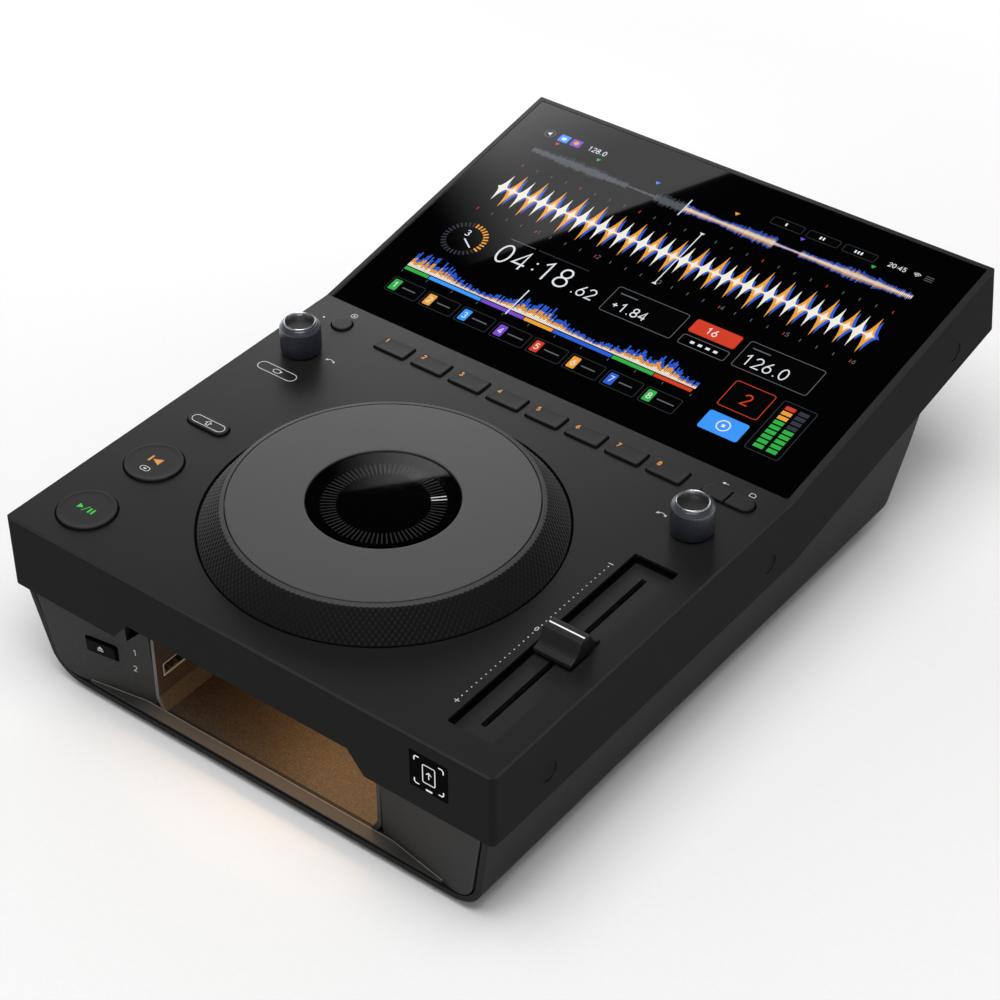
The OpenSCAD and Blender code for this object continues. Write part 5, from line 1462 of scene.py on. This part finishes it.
# Satin-chromed ring and painted cap of the knob.
satin_chrome, tree = new_material("satin_chrome")
spot = add_node(tree, "ShaderNodeTexCoord")
blur = add_node(tree, "ShaderNodeTexNoise", {"Vector": spot.outputs["Object"], "Scale": 800.0})
dull = add_node(tree, "ShaderNodeMapRange", {"Value": blur.outputs["Fac"], "To Min": 0.24,
                                             "To Max": 0.32})
skin = add_node(tree, "ShaderNodeBsdfPrincipled", {
    "Base Color": colour("#d6d8dc"), "Metallic": 1.0, "Roughness": dull.outputs["Result"]})
add_node(tree, "ShaderNodeOutputMaterial", {"Surface": skin.outputs["BSDF"]})

RIBS = 48
knob_y = 160.8


def knob_ring(r, z, cut=0.0):
    """Ring of the sleeve; cut is how deep the grooves between its ribs are."""
    ring = []
    for k in range(RIBS * 8):
        a = 2 * math.pi * k / (RIBS * 8)
        depth = cut * (0.5 - 0.5 * math.cos(RIBS * a)) ** 0.6
        ring.append(((r - depth) * math.cos(a), (r - depth) * math.sin(a), z))
    return ring


for name, body, x in (("loop_knob", "loop_turn", -105.1), ("browse_knob", "browse_turn", 102.0)):
    at = key_spot(x, knob_y)
    sleeve = [knob_ring(r, z, cut) for r, z, cut in (
        (3.05, 0.95, 0), (8.8, 0.95, 0), (9.0, 1.1, 0.05), (9.15, 1.6, 0.16), (9.15, 12.0, 0.16),
        (9.15, 12.5, 0.1), (9.05, 12.9, 0.03), (8.8, 13.4, 0), (8.5, 13.75, 0), (8.35, 13.8, 0),
        (8.0, 14.4, 0), (7.6, 14.75, 0), (7.2, 14.8, 0), (7.1, 14.5, 0), (7.1, 11.5, 0),
        (3.05, 11.5, 0))]
    make_piece(name + "_sleeve", [(sleeve, "looped")], smoky_polycarbonate, body, at=at,
               instead_of=name)
    bezel = [(5.9, 12.4), (7.0, 12.6), (7.08, 15.0), (7.02, 15.3), (6.9, 15.5), (6.75, 15.6),
             (6.6, 15.55), (6.45, 15.35), (6.35, 15.0), (5.9, 13.6)]
    make_piece(name + "_ring", [(lathe(bezel, 96), "looped")], satin_chrome, body, at=at,
               crease=50)
    cap = [(0.3, 11.6), (5.88, 11.6), (5.88, 13.34), (5.75, 13.38), (5.0, 13.32), (2.8, 13.26),
           (0.3, 13.25)]
    make_piece(name + "_cap", [(lathe(cap, 72), "capped")], key_abs, body, at=at)


# ---- Pitch fader ----
# A sunk trough with a plain slot; the saddle-shaped cap has a white line across its ridge
# and slides with the fader's carriage.

fader_x = 102.7
fader_mid = 75.0


def fader(x, y, z):
    return deck(fader_x + x, fader_mid + y, z)


def slotted_plate(outer, hole, low, high):
    """Plate with a hole: inner and outer outlines of equal count, looped round."""
    return [[(x, y, low) for x, y in hole], [(x, y, low) for x, y in outer],
            [(x, y, high) for x, y in outer], [(x, y, high) for x, y in hole]], "looped"


trough_shells = [
    slotted_plate(rounded(23.2, 129, 0.4, 0, 4), rounded(2.6, 104.4, 0.4, 0, 4), -4.5, -3.0)]
make_piece("fader_trough_floor", trough_shells, key_abs, "chassis", at=fader,
           instead_of="fader_trough")
# A black strip in the corner between floor and walls all round is painted shade.
COVE = 1.7
cove = [[(x, y, COVE * (1 - math.sin(a)) - 3.0) for x, y in
         rounded(20.96, 120.96, 2.2, COVE * (1 - math.cos(a)), 5)]
        for a in (math.radians(15 * k) for k in range(7))]
cove += [[(x, y, -3.02) for x, y in rounded(20.96, 120.96, 2.2, inset, 5)]
         for inset in (COVE, 0)]
make_piece("fader_trough_shade", [(cove, "looped")], painted_shade_black, "chassis", at=fader)

# Cap profile along its travel: flared foot, hollow flanks, flat ridge with round shoulders.
flank = [(-9.7, -1.0), (-9.7, 0.4), (-9.4, 0.8), (-8.0, 1.25), (-6.6, 2.05), (-5.3, 3.4),
         (-4.3, 5.2), (-3.6, 6.7), (-3.2, 7.25), (-2.6, 7.58), (-1.9, 7.7)]
profile = flank + [(-y, z) for y, z in reversed(flank)]


def cap_section(x, inset):
    return [(x, y * (1 - inset / 9.7), max(z - inset if z > 2 else z - inset * 0.4, -1.0))
            for y, z in profile]


cap_rings = [cap_section(x, inset) for x, inset in (
    (-9, 0.6), (-8.9, 0.25), (-8.7, 0.08), (-8.4, 0), (8.4, 0), (8.7, 0.08), (8.9, 0.25),
    (9, 0.6))]
make_piece("fader_cap_body", [(cap_rings, "capped")], key_abs, "fader", at=fader,
           instead_of="fader_cap", crease=40)
# White enamel run into a groove in the ridge.
filled_line, tree = new_material("white_enamel_line")
spot = add_node(tree, "ShaderNodeTexCoord")
ripple = add_node(tree, "ShaderNodeTexNoise", {"Vector": spot.outputs["Object"], "Scale": 900.0})
gloss = add_node(tree, "ShaderNodeMapRange", {"Value": ripple.outputs["Fac"], "To Min": 0.25,
                                              "To Max": 0.4})
skin = add_node(tree, "ShaderNodeBsdfPrincipled", {"Base Color": colour("#f6f6f6"),
                                                   "Roughness": gloss.outputs["Result"]})
add_node(tree, "ShaderNodeOutputMaterial", {"Surface": skin.outputs["BSDF"]})
make_piece("fader_line", [([[(x, y, z) for y, z in ((-0.38, 7.68), (0.38, 7.68), (0.38, 7.73),
                                                   (-0.38, 7.73))] for x in (-8.3, 8.3)],
                           "capped")], filled_line, "fader", at=fader)


# ---- Signs on the deck ----
# Pad-printed in white ink: the fader's scale and plain signs beside the keys.

signs = []
for k in range(-16, 17):
    if k:
        signs.append(plate([(88.4 + 0.32 * math.cos(a), 75.4 + 2.93 * k + 0.32 * math.sin(a))
                            for a in (math.pi * n / 4 for n in range(8))], *INK))
signs += digits("0", 87.5, 74.3, 2.2, 0.34, *INK)
signs += [ribbon([(87.3, 25.4), (89.5, 25.4)], 0.32, *INK),
          ribbon([(88.4, 24.3), (88.4, 26.5)], 0.32, *INK),
          ribbon([(87.2, 124.2), (89.6, 124.2)], 0.32, *INK)]
make_piece("fader_scale", signs, white_ink, "chassis")

signs = [ribbon([(-103.0 + x, 142.2 + y) for x, y in rounded(20.8, 5.4, 2.7)], 0.34, *INK,
                closed=True),
         ribbon([(-103.0 + x, 142.2 + y) for x, y in arc(0, 0, 2.0, 1.3, 60, 360, 16)], 0.36,
                *INK),
         plate([(-101.3, 141.8), (-100.3, 143.0), (-101.8, 143.2)], *INK),
         plate([(-113.8 + 0.5 * math.cos(a), 186.2 + 0.5 * math.sin(a))
                for a in (math.pi * n / 6 for n in range(12))], *INK),
         # Delete: a small cross in a ring, behind its key.
         ribbon([(-103.9, 194.4), (-102.7, 195.6)], 0.3, *INK),
         ribbon([(-103.9, 195.6), (-102.7, 194.4)], 0.3, *INK),
         ribbon([(-103.3 + x, 195 + y) for x, y in rounded(3, 3, 1.5)], 0.28, *INK, closed=True),
         # Back: an arrow; tag: a square with a cut corner.
         ribbon([(97.6, 194.6), (95.6, 194.6)], 0.3, *INK),
         plate([(94.4, 194.6), (95.8, 193.8), (95.8, 195.4)], *INK),
         ribbon([(108.0, 193.6), (110.6, 193.6), (110.6, 195.0), (109.8, 195.8), (108.0, 195.8)],
                0.28, *INK, closed=True)]
# Arrows each way beside the two knobs.
for x, y in ((-89.6, knob_y), (86.4, knob_y)):
    signs.append(ribbon([(x + p, y + q) for p, q in arc(0, 0, 2.2, 2.2, 40, 140, 8)], 0.32,
                        *INK))
    signs.append(plate([(x + 1.0, y + 1.2), (x + 2.5, y + 0.6), (x + 2.1, y + 2.2)], *INK))
    signs.append(plate([(x - 1.0, y + 1.2), (x - 2.5, y + 0.6), (x - 2.1, y + 2.2)], *INK))
make_piece("deck_signs", signs, white_ink, "chassis")
